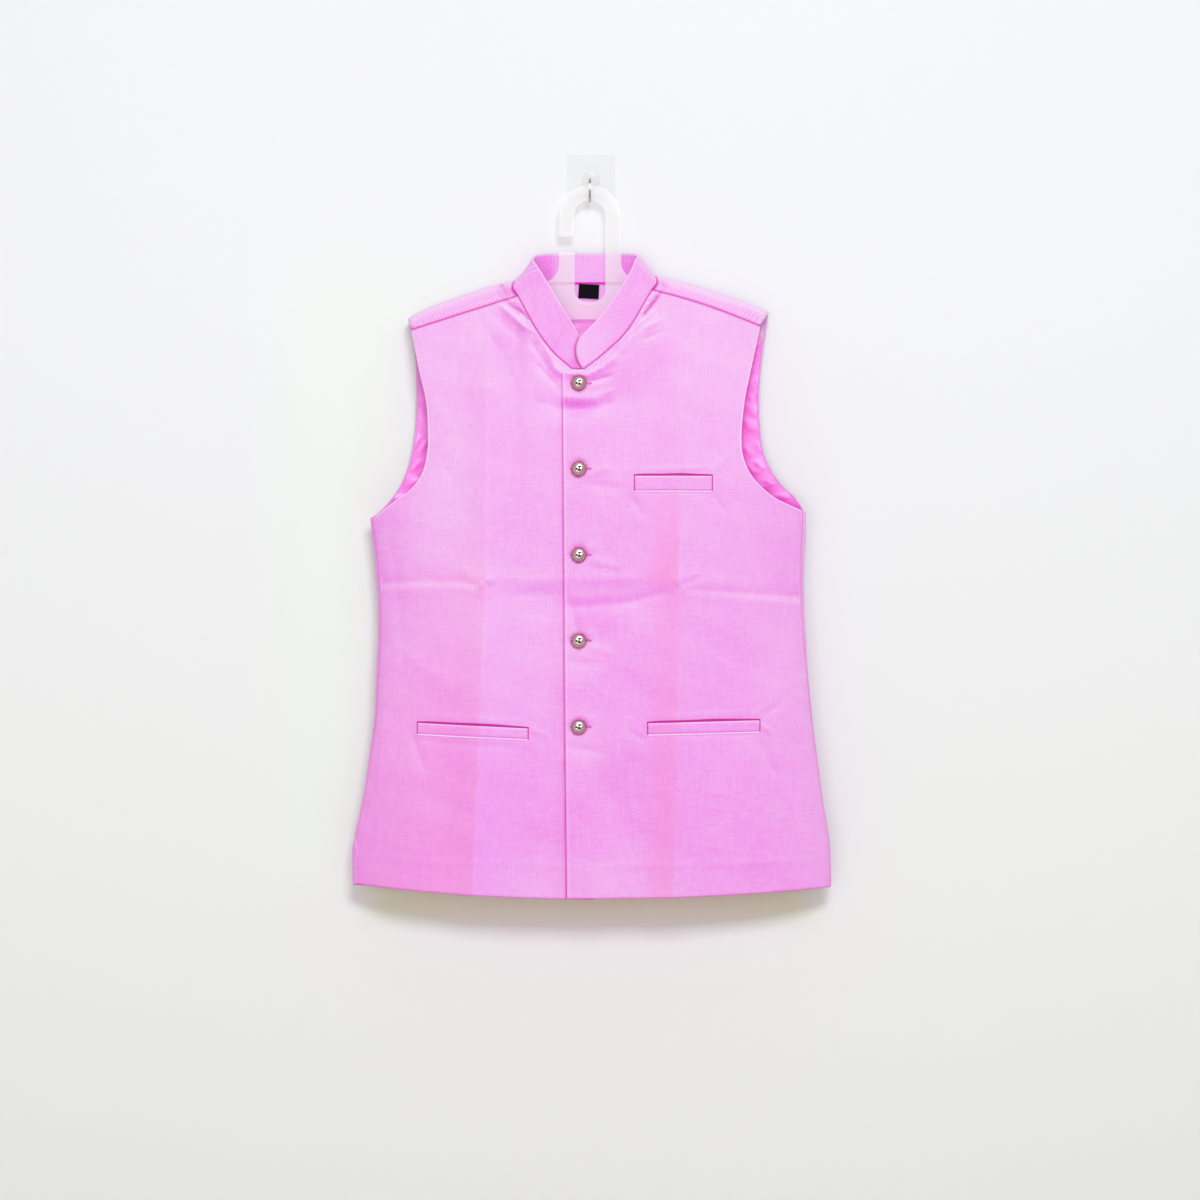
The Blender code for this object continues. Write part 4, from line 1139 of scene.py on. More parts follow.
left_points, left_fields = front_grid(1, LEFT_FRONT_EDGE, LEFT_EDGE_TOP, LEFT_NECKLINE, LEFT_FRONT_ARMHOLE)
bm = sheet_mesh(left_points, cloth_map(left_points, 0), **left_fields)
for level in BUTTON_LEVELS:
    cut_slit(bm, (BUTTON_X + (SLIT[0] + SLIT[1]) / 2, level), (SLIT[1] - SLIT[0]) / 2, SLIT[2] / 2)
left_front = thicken(as_object("left_front_panel", bm, jacket_cloth, lining_satin), CLOTH, lined=True)
for name, points in (("right front", right_points), ("left front", left_points)):
    wide = run_from(points, 0, end=True)[0].max()
    long = run_from(points, 1, end=True)[:, 0].max()
    print(name, "cut", round(wide, 3), "by", round(long, 3), "m, area", round(flat_area(points), 4))

# %% [markdown]
# ## The back, over the shoulders
#
# The back is one piece. It wraps round the sides to the side seams, rises behind the hanger, and
# turns over the shoulders to seams that lie on the front. We walk its columns from seam to seam
# and its rows from the hem to the shoulder seams, then leave out the squares where the armholes
# and the neck are. At the wearer's right side seam the hem is open a little: a vent, where the
# back peeks out.

# %% The back's rows and columns
RIGHT_BACK_ARMHOLE = (
    (-252.5, -394.5),
    (-241.5, -386),
    (-223, -362.8),
    (-210.5, -334),
    (-203, -294),
    (-201.5, -253),
    (-203.6, -202),
    (-211, -165.4),
)
LEFT_BACK_ARMHOLE = (
    (246, -388),
    (238, -374.3),
    (220, -357),
    (205, -334),
    (196.7, -305),
    (193.8, -259),
    (197.2, -213),
    (204.7, -159),
)
VENT_TOP = -0.762
VENT_KICK = 3.2 * MM
VENT_KICK_RUN = 14 * MM
VENT_TUCK = 3.2 * MM  # how far the vent's inner edge lies behind the front
VENT_UNDERLAP = 8 * MM
VENT_KICK_POWER = 6
SIDE_TURN = 86
SIDE_COLUMNS, SHOULDER_COLUMNS, NECK_COLUMNS = 2, 7, 10
TOP_COLUMNS = 2 * SHOULDER_COLUMNS + NECK_COLUMNS
BACK_COLUMNS = TOP_COLUMNS + 2 * SIDE_COLUMNS
NECK_FROM = SIDE_COLUMNS + SHOULDER_COLUMNS
NECK_TO = NECK_FROM + NECK_COLUMNS
LAST_TOP_COLUMN = SIDE_COLUMNS + TOP_COLUMNS
BACK_BODY_ROWS = 13
ARM_SHARES = (0.07, 0.15, 0.25, 0.38, 0.53, 0.68, 0.82, 0.91)  # of the armhole's edge, row by row
ARM_TOP_ROW = BACK_BODY_ROWS + len(ARM_SHARES)
RIDGE_ROW = ARM_TOP_ROW + 4  # the top of the shoulder
BEND_END_ROW = RIDGE_ROW + 3  # where its bend ends in front; the next row is the seam
ARM_TOPS = (SHOULDER_LINE[0][0] * MM, SHOULDER_LINE[-1][0] * MM)

print("the back's grid has", BACK_COLUMNS, "broad columns and", BEND_END_ROW + 1, "broad rows")

# %% A section of the back
def seam_angle(side, z, further=0.0):
    """The angle of a side seam, or of a line that lies further inside the outline."""
    _, half = girth(z)
    return math.pi - np.arcsin((1 - (seam_inset(side, z) + further) / half) ** (1 / SECTION_X_POWER))


def back_section(angle, z, kick):
    """The back at a level: angle 0 is its middle, and a quarter turn the side."""
    middle, half = girth(z)
    x = middle + (half + kick) * np.sign(angle) * np.abs(np.sin(angle)) ** SECTION_X_POWER
    depth = np.abs(np.cos(angle)) ** SECTION_Y_POWER
    drop = below_shoulder(x, z)
    side_y = RIDGE_Y + turned_over(drop) - back_reach(x, z)
    behind = side_y + back_reach(x, z) * depth + fold_height(BACK_FOLDS, x, z)
    y = np.where(np.cos(angle) >= 0, behind, side_y - chest_depth(drop) * depth)
    return np.stack([x, y, z], axis=-1)


def back_inside(angle, z, inset, kick):
    h = math.radians(1)
    run = back_section(angle + h, z, kick) - back_section(angle - h, z, kick)
    inward = np.stack([run[..., 1], -run[..., 0], 0 * z], axis=-1)
    inward = inward / np.linalg.norm(inward, axis=-1, keepdims=True)
    return back_section(angle, z, kick) + inward * np.broadcast_to(inset, np.shape(z))[..., None]


print("the middle of the back at the waist:", np.round(back_section(0.0, -0.5, 0.0), 4))

# %% Up to the shoulders and over them
def top_of_column(column):
    """Across, where a column meets the top of the shoulders or the neck."""
    i = np.clip(column - SIDE_COLUMNS, 0, TOP_COLUMNS)
    turn = math.pi * np.clip((i - SHOULDER_COLUMNS) / NECK_COLUMNS, 0, 1)
    neck = mixed(*NECK_SIDES, (1 - np.cos(turn)) / 2)
    right = mixed(ARM_TOPS[0], NECK_SIDES[0], i / SHOULDER_COLUMNS)
    left = mixed(NECK_SIDES[1], ARM_TOPS[1], (i - SHOULDER_COLUMNS - NECK_COLUMNS) / SHOULDER_COLUMNS)
    return np.where(i < SHOULDER_COLUMNS, right, np.where(i > SHOULDER_COLUMNS + NECK_COLUMNS, left, neck))


def back_top_z(x):
    return mixed(shoulder_line(x), BACK_NECK_LEVEL, inside_neck(x))


def ridge_drop(row):
    """How far below the top of the shoulder a row is, round its bend."""
    turns = np.clip(np.abs(row - RIDGE_ROW), 0, 3) * 30
    return RIDGE_ROUND * (1 - np.cos(np.radians(turns)))


def body_place(column, row, inset, hem_rise):
    share = np.clip(row / BACK_BODY_ROWS, 0, 1)
    t = column / BACK_COLUMNS
    low = mixed(HEM_CORNERS[0][1], HEM_CORNERS[1][1], t) * MM + hem_rise
    high = mixed(RIGHT_BACK_ARMHOLE[0][1], LEFT_BACK_ARMHOLE[0][1], t) * MM
    z = mixed(low, high, share) - HEM_BELLY * np.sin(math.pi * t) * (1 - share)
    vent = step((VENT_TOP - z) / VENT_KICK_RUN) * (t < 0.5)
    kick = VENT_KICK * vent * np.abs(2 * t - 1) ** VENT_KICK_POWER
    tucked = inset + VENT_TUCK * vent * np.abs(2 * t - 1) ** 24
    right, left = seam_angle(0, z, VENT_UNDERLAP * vent), seam_angle(1, z)
    return back_inside(mixed(-right, left, t), z, tucked, kick)


def top_place(column, row, inset, top_drop, arm_inset):
    arms = [flat_curve(table) for table in (RIGHT_BACK_ARMHOLE, LEFT_BACK_ARMHOLE)]
    arm_length = np.linalg.norm(np.diff(arms[0], axis=0), axis=1).sum()
    drop = ridge_drop(row)
    marks = [0, *ARM_SHARES, 1 - RIDGE_ROUND / arm_length]
    share = np.interp(row, BACK_BODY_ROWS + np.arange(len(marks)), marks)
    share = np.where(row > ARM_TOP_ROW + 1, 1 - drop / arm_length, share)
    right, left = (along(arm, share) for arm in arms)
    turn = np.radians(mixed(-SIDE_TURN, SIDE_TURN, np.clip((column - SIDE_COLUMNS) / TOP_COLUMNS, 0, 1)))
    body = (1 + np.sign(turn) * np.abs(np.sin(turn)) ** SECTION_X_POWER) / 2
    top = top_of_column(column)
    t = mixed(body, (top - ARM_TOPS[0]) / (ARM_TOPS[1] - ARM_TOPS[0]), step(share))
    arm_inset = arm_inset * (1 + 5 * share**4)
    x = mixed(right[..., 0] + arm_inset, left[..., 0] - arm_inset, t)
    rise = back_top_z(top) - mixed(shoulder_z(ARM_TOPS[0]), shoulder_z(ARM_TOPS[1]), t)
    arm_z = mixed(right[..., 1], left[..., 1], t) + (rise - top_drop) * share**2
    z = mixed(arm_z, back_top_z(top) - top_drop - drop, np.clip(row - ARM_TOP_ROW, 0, 1))
    return np.stack([x, back_y(x, z) - inset, z], axis=-1)


def flap_place(column, row):
    """Over the shoulder, from its top to the seam in front."""
    right = column < BACK_COLUMNS / 2
    inward = np.where(right, column, BACK_COLUMNS - column) - SIDE_COLUMNS
    across = np.clip(inward / SHOULDER_COLUMNS, 0, 1)
    right_x, left_x = (mixed(ARM_TOPS[k], NECK_SIDES[k], across) for k in (0, 1))
    top_x = np.where(right, right_x, left_x)
    seam = np.where(right[..., None], shoulder_seam(0, across), shoulder_seam(1, across))
    top = np.stack([top_x, shoulder_z(top_x)], axis=-1)
    bent = ridge_drop(row) / (top[..., 1] - seam[..., 1])
    share = mixed(bent, 1.0, np.clip(row - RIDGE_ROW - 3, 0, 1))
    point = mixed(top, seam, share[..., None])
    bulge = NECK_BULGE * np.sin(math.pi * np.minimum(share, 1)) * across**6
    x, z = point[..., 0] + np.sign(point[..., 0]) * bulge, point[..., 1]
    return np.stack([x, front_y(x, z), z], axis=-1)


def back_grid(columns, rows, inset=0.0, hem_rise=0.0, top_drop=0.0, arm_inset=0.0):
    column, row = np.meshgrid(columns, rows, indexing="ij")
    body = body_place(column, row, inset, hem_rise)
    top = top_place(column, row, inset, top_drop, arm_inset)
    points = mixed(body, top, np.clip(row - BACK_BODY_ROWS, 0, 1)[..., None])
    over = (row > RIDGE_ROW)[..., None]
    return np.where(over, flap_place(column, row), points) if rows[-1] > RIDGE_ROW else points


print("the neck lies between", *[round(float(top_of_column(c)), 4) for c in (NECK_FROM, NECK_TO)], "m")

# %% The back's cloth
back_columns = with_edges(
    spread(
        (0, SIDE_COLUMNS, 14), (SIDE_COLUMNS, NECK_FROM, 32), (NECK_FROM, NECK_TO, 46),
        (NECK_TO, LAST_TOP_COLUMN, 32), (LAST_TOP_COLUMN, BACK_COLUMNS, 14),
    ),
    3.0, 3.0,
)
back_rows = with_edges(
    spread(
        (0, BACK_BODY_ROWS, 96), (BACK_BODY_ROWS, ARM_TOP_ROW, 52), (ARM_TOP_ROW, ARM_TOP_ROW + 1, 4),
        (ARM_TOP_ROW + 1, BEND_END_ROW, 18), (BEND_END_ROW, BEND_END_ROW + 1, 8),
    ),
    4.5, 3.0,
)
plain = back_grid(back_columns, back_rows)
x, z = plain[..., 0], plain[..., 2]
on_flap = step((back_rows - RIDGE_ROW + 0.5)[None, :])
ridge = int(np.searchsorted(back_rows, RIDGE_ROW))
neck_columns = ((back_columns >= NECK_FROM) & (back_columns <= NECK_TO))[:, None]
first_run, last_run, hem_run, top_run = edge_runs(plain)
neck_run = np.where(neck_columns, top_run - top_run[:, ridge : ridge + 1], 1.0)
collar_runs = [
    np.where(back_rows >= RIDGE_ROW, np.abs(first_run - first_run[np.searchsorted(back_columns, c)]), 1.0)
    for c in (NECK_FROM, NECK_TO)
]
flap_run = np.where(neck_columns, 1.0, top_run)
side_run = np.where(back_rows <= BACK_BODY_ROWS, np.minimum(first_run, last_run), 1.0)
seam_run = np.abs(np.minimum.reduce([flap_run, np.abs(neck_run), *collar_runs]))
relief = mixed(
    crease_height(BACK_CREASES, x, z) + unevenness(x, z, 11),
    crease_height(FRONT_CREASES, x, z) + unevenness(x, z, 3),
    on_flap,
)
held_run = np.abs(np.minimum.reduce([np.abs(neck_run), *collar_runs, side_run]))
held = step((held_run - 0.5 * MM) / (3.5 * MM))
edges_roll = rolled(hem_run, 0.5 * MM) + rolled(np.minimum(first_run, last_run), 0.6 * MM)
lift = relief * held - edges_roll - rolled(seam_run, 0.8 * MM)
back_points = plain - normals(plain) * lift[..., None]
column_middles = (back_columns[1:] + back_columns[:-1])[:, None] / 2
row_middles = (back_rows[1:] + back_rows[:-1])[None, :] / 2
in_arm = (np.abs(column_middles - BACK_COLUMNS / 2) > TOP_COLUMNS / 2) & (row_middles > BACK_BODY_ROWS)
in_neck = (np.abs(column_middles - BACK_COLUMNS / 2) < NECK_COLUMNS / 2) & (row_middles > RIDGE_ROW)
back_keep = ~(in_arm | in_neck)
# the back's colour: seams and painted shade in its folds, painted warm and cool light, and painted light
# where it faces up or towards +X
bm = sheet_mesh(
    back_points, cloth_map(back_points, len(back_columns) // 2),
    seam=np.maximum.reduce([
        sewn(seam_run, 1.2 * MM), side_seam(side_run, z),
        # painted shade in the back's sharp folds
        painted_fold_shade(BACK_SHADES, back_points[..., 0], back_points[..., 2]),
    ]),
    rosy=rosiness(x, z) * 0.6, pale=paleness(back_points, -normals(back_points), patches=()), keep=back_keep,
)
back_panel = thicken(as_object("back_panel", bm, jacket_cloth), CLOTH)
print("back: area", round(flat_area(back_points, back_keep), 4), "m2")
print("the back's grid:", len(back_columns), "by", len(back_rows), "points")

# %% [markdown]
# ## The lining of the back
#
# Satin is cut a little easy, so it never strains: it lies in loose folds, most of all below the
# hanger's foot and beside the armholes, where it shows. Its folds only rise towards the inside of
# the jacket, because the suiting is right behind it.

# %% The lining
LINING_GAP = 0.8 * MM
LINING_RISE, LINING_DROP, LINING_INSET = 22 * MM, 26 * MM, 1.2 * MM  # inside hem, neck and armhole
LINING_FOLDS = (
    # from x, z, to x, z, flank behind and before, height towards the inside
    (-60, -168, 0, -206, 9, 10, 2.0),
    (-22, -172, -4, -196, 5, 6, 2.2),
    (34, -166, -2, -210, 8, 9, 2.4),
    (4, -176, 26, -214, 6, 7, 1.9),
    # beside the armhole on the right
    (-206, -250, -184, -300, 6, 7, 1.8),
    (-214, -300, -186, -316, 6, 7, 2.0),
    (-216, -330, -186, -340, 6, 6, 1.8),
    (-222, -350, -190, -356, 6, 6, 1.8),
    (-232, -372, -196, -374, 6, 6, 1.8),
    # and on the left
    (206, -226, 176, -250, 5, 7, 2.4),
    (206, -250, 176, -262, 5, 6, 2.2),
    (202, -272, 178, -270, 5, 7, 2.0),
    (202, -296, 176, -286, 6, 7, 2.2),
    (200, -312, 176, -318, 5, 6, 2.0),
    (202, -330, 180, -340, 6, 7, 2.2),
    (216, -350, 186, -360, 6, 7, 2.0),
    (232, -368, 198, -374, 6, 6, 2.0),
    (-120, -260, -90, -520, 24, 24, 1.8),
    (90, -300, 70, -560, 22, 26, 1.8),
    (-180, -420, -150, -760, 22, 26, 1.6),
    (170, -420, 150, -760, 24, 22, 1.6),
    (0, -380, 10, -780, 20, 20, 1.4),
)
lining_columns = with_edges(spread((SIDE_COLUMNS, LAST_TOP_COLUMN, 110)), 4.5, 4.5)
lining_rows = with_edges(
    spread((0, BACK_BODY_ROWS, 80), (BACK_BODY_ROWS, ARM_TOP_ROW, 44), (ARM_TOP_ROW, RIDGE_ROW, 12)),
    4.5, 3.0,
)
inset = CLOTH / 2 + LINING / 2 + LINING_GAP
lining_points = back_grid(lining_columns, lining_rows, inset, LINING_RISE, LINING_DROP, LINING_INSET)
x, z = lining_points[..., 0], lining_points[..., 2]
lift = crease_height(LINING_FOLDS, x, z) + np.maximum(unevenness(x, z, 23), 0) * 1.5
lining_points = lining_points + normals(lining_points) * lift[..., None]
runs = edge_runs(lining_points)
facing = normals(lining_points)
# painted shade on the satin next to the edges of the fronts, and under the hanger's foot
fronts_edge = np.concatenate([flat_curve(RIGHT_FRONT_ARMHOLE), flat_curve(LEFT_FRONT_ARMHOLE)])
hidden_by = np.full(x.shape, 1.0)
for edge_x, edge_z in fronts_edge[::2]:
    hidden_by = np.minimum(hidden_by, np.hypot(x - edge_x, z - edge_z))
hidden_by = np.maximum(hidden_by - 2 * MM, 0)
foot_shade = 0.4 * step(1.4 - np.hypot((x + 6 * MM) / (28 * MM), (z + 206 * MM) / (16 * MM)))
edge_share = np.where(x > 0, 0.6, 0.2)
in_shade = edge_share * 0.7 * np.exp(-hidden_by / (5 * MM)) + foot_shade
edge_line_shade = 1.2 * edge_share * np.exp(-hidden_by / (2 * MM))
# the satin's pale number is painted light where it faces up or outwards, less the painted shade
bm = sheet_mesh(
    lining_points, cloth_map(lining_points, len(lining_columns) // 2),
    seam=np.maximum(0.6 * sewn(np.minimum.reduce(runs), 0.6 * MM), edge_line_shade),
    pale=np.clip(0.5 + 1.3 * facing[..., 2] + 0.9 * facing[..., 0] * np.sign(x) - in_shade, 0, 1),
)
lining = thicken(as_object("back_lining_satin", bm, lining_satin), LINING)
print("lining: area", round(flat_area(lining_points), 4), "m2")

# %% [markdown]
# ## The band collar
#
# The band is a straight strip, bent round the neck and sewn down along its lower edge. Its upper
# edge leans in at the sides, falls towards the front, and its rounded left end laps over the right
# one. So the sheet is drawn between two curves: the neck's own edge, and the free edge.

# %% The collar
COLLAR = 2.4 * MM
COLLAR_SEAM_GAP = 0.7 * MM
COLLAR_RIGHT_END = (-11, -225.4)
COLLAR_FREE_EDGE = (
    # across, depth, level
    (-4, -38, -196),
    (-12.4, -37.5, -186.8),
    (-28, -36.5, -161),
    (-43, -33, -136),
    (-56, -28, -114),
    (-66.3, -20.5, -97),
    (-62, -10.5, -91.5),
    (-40, -8.3, -89.6),
    (0, -8, -89.1),
    (35, -8.5, -89.5),
    (52.5, -14.5, -91.5),
    (51, -22.5, -97),
    (44.2, -29, -113.3),
    (32.2, -34.5, -133.2),
    (14.3, -39, -159),
    (-1.5, -42, -176.9),
    (-11.5, -43, -186.9),
)
COLLAR_END_BULGE = 7.4 * MM
COLLAR_DEEPER = 0.22  # how much less pale the band's front is painted, to take back some of its painted light
COLLAR_END_RUN = 12 * MM
print("the band's free edge has", len(COLLAR_FREE_EDGE), "marks")

# %% The edge that the band is sewn to
def front_edge_points(neckline, under):
    at = along(flat_curve(neckline), spread((0, 1, 44)))
    y = front_y(at[:, 0], at[:, 1])
    if under:
        y = y + OVERLAP_DROP * step((at[:, 0] - OVERLAP[0]) / (OVERLAP[1] - OVERLAP[0]))
    return np.stack([at[:, 0], y, at[:, 1]], axis=-1)


def neck_edge():
    """The line that the collar is sewn to, from the middle of the right front round the neck."""
    right_x, right_z = (value * MM for value in COLLAR_RIGHT_END)
    end = np.array([[right_x, float(front_y(right_x, right_z)) + OVERLAP_DROP, right_z]])
    over = np.linspace(RIDGE_ROW, RIDGE_ROW + 3, 10)
    right_flap = flap_place(np.full(10, float(NECK_FROM)), over)
    left_flap = flap_place(np.full(10, float(NECK_TO)), over)
    across = top_of_column(np.linspace(NECK_FROM, NECK_TO, 46))
    level = back_top_z(across)
    back = np.stack([across, back_y(across, level), level], axis=-1)
    right = np.vstack([end, front_edge_points(RIGHT_NECKLINE, True)])
    left = front_edge_points(LEFT_NECKLINE, False)
    return np.vstack([right, right_flap[::-1], back[1:], left_flap[1:], left[::-1]])


def softened(line, times=6):
    """The polyline with its corners worn down. Its ends stay."""
    for _ in range(times):
        line = np.vstack([line[:1], (line[:-2] + 2 * line[1:-1] + line[2:]) / 4, line[-1:]])
    return line


raw_edge = neck_edge()
print("the neck's edge is", round(float(run_from(raw_edge[:, None], 0).max()), 3), "m long")

# %% The band between its two edges
collar_steps = spread((0, 1, 230))
seam_line = along(raw_edge, collar_steps)
free_line = along(smooth_curve(COLLAR_FREE_EDGE) * MM, collar_steps)
run = np.gradient(softened(seam_line, 12), axis=0)
rise = free_line - seam_line
rise -= run * (np.sum(rise * run, axis=1) / np.sum(run * run, axis=1))[:, None]
foot = seam_line + rise / np.linalg.norm(rise, axis=1, keepdims=True) * COLLAR_SEAM_GAP
height = with_edges(spread((0, 1, 18)), 2.6, 2.6)
plain = mixed(foot[:, None], free_line[:, None], height[None, :, None])
to_end = run_from(plain, 0, end=True)
lap = np.maximum(1 - to_end / COLLAR_END_RUN, 0) * np.sin(math.pi * height) ** 0.8
plain[..., 0] -= COLLAR_END_BULGE * lap
start_run, end_run, foot_run, free_run = edge_runs(plain)
outward = normals(plain)
outward = outward * np.sign(np.sum(outward * (plain - plain.mean(axis=(0, 1)))))
wave = 0.35 * MM * np.sin(start_run / (31 * MM)) * np.sin(math.pi * height)
wave = wave + 0.25 * MM * np.sin(start_run / (13 * MM) + 2) * height
lift = wave - rolled(free_run, 0.5 * MM) - rolled(end_run, 0.5 * MM) - rolled(foot_run, 0.7 * MM, 2.5 * MM)
collar_points = plain + outward * lift[..., None]
u = run_from(collar_points, 0)
v = run_from(collar_points, 1)
facing = normals(collar_points)
facing = facing * np.sign(np.sum(facing * outward))
# painted shade under the band's lapped end
tuck = np.hypot(collar_points[..., 0] + 15 * MM, collar_points[..., 2] + 217 * MM)
tucked = 0.6 * np.exp(-((tuck / (8 * MM)) ** 2))
# collar_deeper takes back some painted light on the band's front, and adds painted shade on its back part, to
# both sides of the middle
in_front = step((-10 * MM - collar_points[..., 1]) / (12 * MM))
collar_deeper = COLLAR_DEEPER * step(to_end / (90 * MM)) * in_front
inner_corner = step((np.abs(collar_points[..., 0] + 6 * MM) - 30 * MM) / (14 * MM))
collar_deeper = collar_deeper + 0.4 * inner_corner * step((collar_points[..., 1] + 17 * MM) / (6 * MM))
# painted shade beside the lapped end's outline
lap_line = collar_points[-1][:, None, None, [0, 2]]
beside_lap = np.linalg.norm(collar_points[None, ..., [0, 2]] - lap_line, axis=-1).min(axis=0)
tucked = np.maximum(tucked, 0.9 * np.exp(-((beside_lap / (2.4 * MM)) ** 2))) * (u < 0.1)
bm = sheet_mesh(
    collar_points, np.stack([u, v], axis=-1),
    # seam: the foot seam, with painted shade along the lapping end and beside it; pale: painted light, with a
    # painted highlight along the free edge
    seam=np.maximum.reduce([sewn(foot_run), 0.5 * sewn(end_run), tucked]),
    pale=np.clip(paleness(collar_points, facing, sewn(free_run - 0.4 * MM) + 0 * u) - collar_deeper, 0, 1),
)
collar = thicken(as_object("band_collar", bm, band_cloth), COLLAR)
print("collar: long", round(float(u.max()), 3), "high", round(float(v.max()), 3))
print("collar: area", round(flat_area(collar_points), 4), "m2")

# %% [markdown]
# ## Welt pockets
#
# A welt is a strip that stands in front of a slit. Its upper edge is a fold, and behind it the
# mouth of the pocket shows as a thin dark line, which turns down at both ends where the strip is
# sewn. So each pocket is made from the front's own points: a dark facing, which is painted shade
# in the mouth and beside the sewn ends, the welt, which lies further out and leaves a rim of the
# facing free above and beside it, and a thin pressed ridge under the welt, painted pale as a
# highlight.

# %% The welts
WELT_THICK = 1.2 * MM
WELT_GAP = 0.45 * MM
FACING_THICK = 0.5 * MM
FACING_GAP = 0.35 * MM
RIDGE_THICK = 0.4 * MM
WELTS = {
    # node: inner and outer end across, level of the top at each end, height
    "welt_chest": (50.0, 138.2, -347.5, -347.5, 16.6),
    "welt_hip_right": (-72, -198, -636, -630, 12.2),
    "welt_hip_left": (65, 192.5, -630, -627, 12.6),
}
MOUTH = 1.7 * MM  # how far the facing's painted shade shows above the welt at its ends
MOUTH_GAPE = 1.4 * MM  # and how much further in the middle
MOUTH_SIDE = 1.0 * MM
RIDGE_HIGH = 2.0 * MM  # the pressed ridge of cloth under the welt, painted fully pale as a highlight
RIDGE_LIFT = 1.6 * MM
print("pockets:", ", ".join(WELTS))

# %% Strips that follow the front
def welt_lines(row, over, beside, columns):
    """Across, and the levels of the top and the foot, along a welt. over and beside make it larger."""
    start, end, start_z, end_z, height = (value * MM for value in row)
    if end < start:
        start, end, start_z, end_z = end, start, end_z, start_z
    t = with_edges(spread((0, 1, columns)), 2.6, 2.6)[:, None]
    top = mixed(start_z, end_z, t)
    gape = np.sin(math.pi * t) ** 0.5 * (1 + 0.2 * np.sin(11 * t + 1))
    return mixed(start - beside, end + beside, t), top + over * (1 + gape * MOUTH_GAPE / MOUTH), top - height


def strip(row, over, beside, out, columns, rows):
    """The points of a strip of cloth that lies on the front."""
    across, top, foot = welt_lines(row, over, beside, columns)
    s = with_edges(spread((0, 1, rows)), 2.4, 2.4)[None, :]
    return on_front(across + 0 * s, mixed(foot, top, s), out)


def pressed_ridge(row):
    across, _, foot = welt_lines(row, 0.0, 0.4 * MM, 60)
    s = np.linspace(0, 1, 6)[None, :]
    out = CLOTH / 2 + RIDGE_LIFT * np.sin(math.pi * s)
    return on_front(across + 0 * s, foot + mixed(-RIDGE_HIGH, 0.2 * MM, s), out)

# %% The three pockets
welts = []
for name, row in WELTS.items():
    # the facing is dark: painted shade in the pocket's mouth and beside its sewn ends
    facing_points = strip(row, MOUTH, MOUTH_SIDE, CLOTH / 2 + FACING_GAP, 60, 8)
    u, v = run_from(facing_points, 0), run_from(facing_points, 1)
    bm = sheet_mesh(facing_points, np.stack([u, v], axis=-1))
    pocket = thicken(as_object(name + "_facing", bm, pocket_shade), FACING_THICK)
    # the ridge is painted fully pale: a painted highlight under the welt
    ridge_points = pressed_ridge(row)
    bm = sheet_mesh(ridge_points, cloth_map(ridge_points, 0), pale=1.0)
    ridge_piece = thicken(as_object(name + "_ridge", bm, jacket_cloth), RIDGE_THICK)
    face = strip(row, 0.0, 0.0, CLOTH / 2 + WELT_GAP + WELT_THICK / 2, 64, 10)
    first, last, low, high = edge_runs(face)
    ends = np.minimum(first, last)
    roll = rolled(high, 0.5 * MM) + rolled(low, 1.3 * MM, 2.2 * MM) + rolled(ends, 0.8 * MM)
    face = face - front_normal(face[..., 0], face[..., 2]) * roll[..., None]
    bm = sheet_mesh(
        face, cloth_map(face, 0) + (0.11, 0.07),
        seam=np.maximum(0.8 * sewn(ends, 0.5 * MM), 0.2 * sewn(low, 0.5 * MM)),
        # painted warm and cool light, and a painted highlight along the welt's folded top edge
        rosy=rosiness(face[..., 0], face[..., 2]),
        pale=paleness(face, normals(face), 0.9 * sewn(high - 0.4 * MM, 0.7 * MM)) - 0.05,
    )
    welt = thicken(as_object(name + "_strip", bm, jacket_cloth), WELT_THICK)
    welts.append((name, welt, (pocket, ridge_piece), face, flat_area(face)))
    print(name, "has an area of", round(flat_area(face), 5), "m2")

# %% [markdown]
# ## The label
#
# A bare black woven tape lies inside the back of the neck. It hangs three degrees out of level,
# and its lower edge curls a little. The tape is matt, so its finish has no sheen and hardly any
# gloss, which would make black look grey.

# %% The label
LABEL_WIDTH = 23.5 * MM
LABEL_HEIGHT = 16.5 * MM
LABEL_TOP = (-2.2 * MM, -124.5 * MM)
LABEL_TILT = math.radians(-3)
LABEL_CURL = 0.5 * MM
LABEL_THICK = 0.8 * MM

label_gap = CLOTH / 2 + SEAM_GAP + LINING / 2
u = (spread((0, 1, 24))[:, None] - 0.5) * LABEL_WIDTH
v = -(1 - spread((0, 1, 18)))[None, :] * LABEL_HEIGHT
x = LABEL_TOP[0] + u * math.cos(LABEL_TILT) - v * math.sin(LABEL_TILT)
z = LABEL_TOP[1] + u * math.sin(LABEL_TILT) + v * math.cos(LABEL_TILT)
curl = LABEL_CURL * (-v / LABEL_HEIGHT) ** 3 * (1 + 0.5 * np.sin(u / LABEL_WIDTH * 5))
label_points = np.stack([x, RIDGE_Y + RIDGE_HALF - label_gap - curl, z], axis=-1)
bm = sheet_mesh(label_points, cloth_map(label_points, 0))
label = thicken(as_object("neck_label_tape", bm, label_tape), LABEL_THICK)
print("label", round(LABEL_WIDTH / MM, 1), "by", round(LABEL_HEIGHT / MM, 1), "mm")

# %% [markdown]
# ## Buttons
#
# The buttons are cast metal domes on a shank, with a plain pattern: five soft petals with three
# small pits among them, a groove round them and a ribbed rim. The dome's profile is spun into a
# solid, then each point is moved out by the height of the pattern at its radius and angle. The
# pattern's hollows are kept as a number at each point, so that the finish can be dark in them, as
# on old silver.

# %% The buttons' metal
SILVER = linear(243, 227, 222)
PATINA = linear(50, 30, 30)
CLOTH_REFLECTION = linear(190, 84, 110)  # painted reflection of the pink cloth on the rim, the lower half and the underside


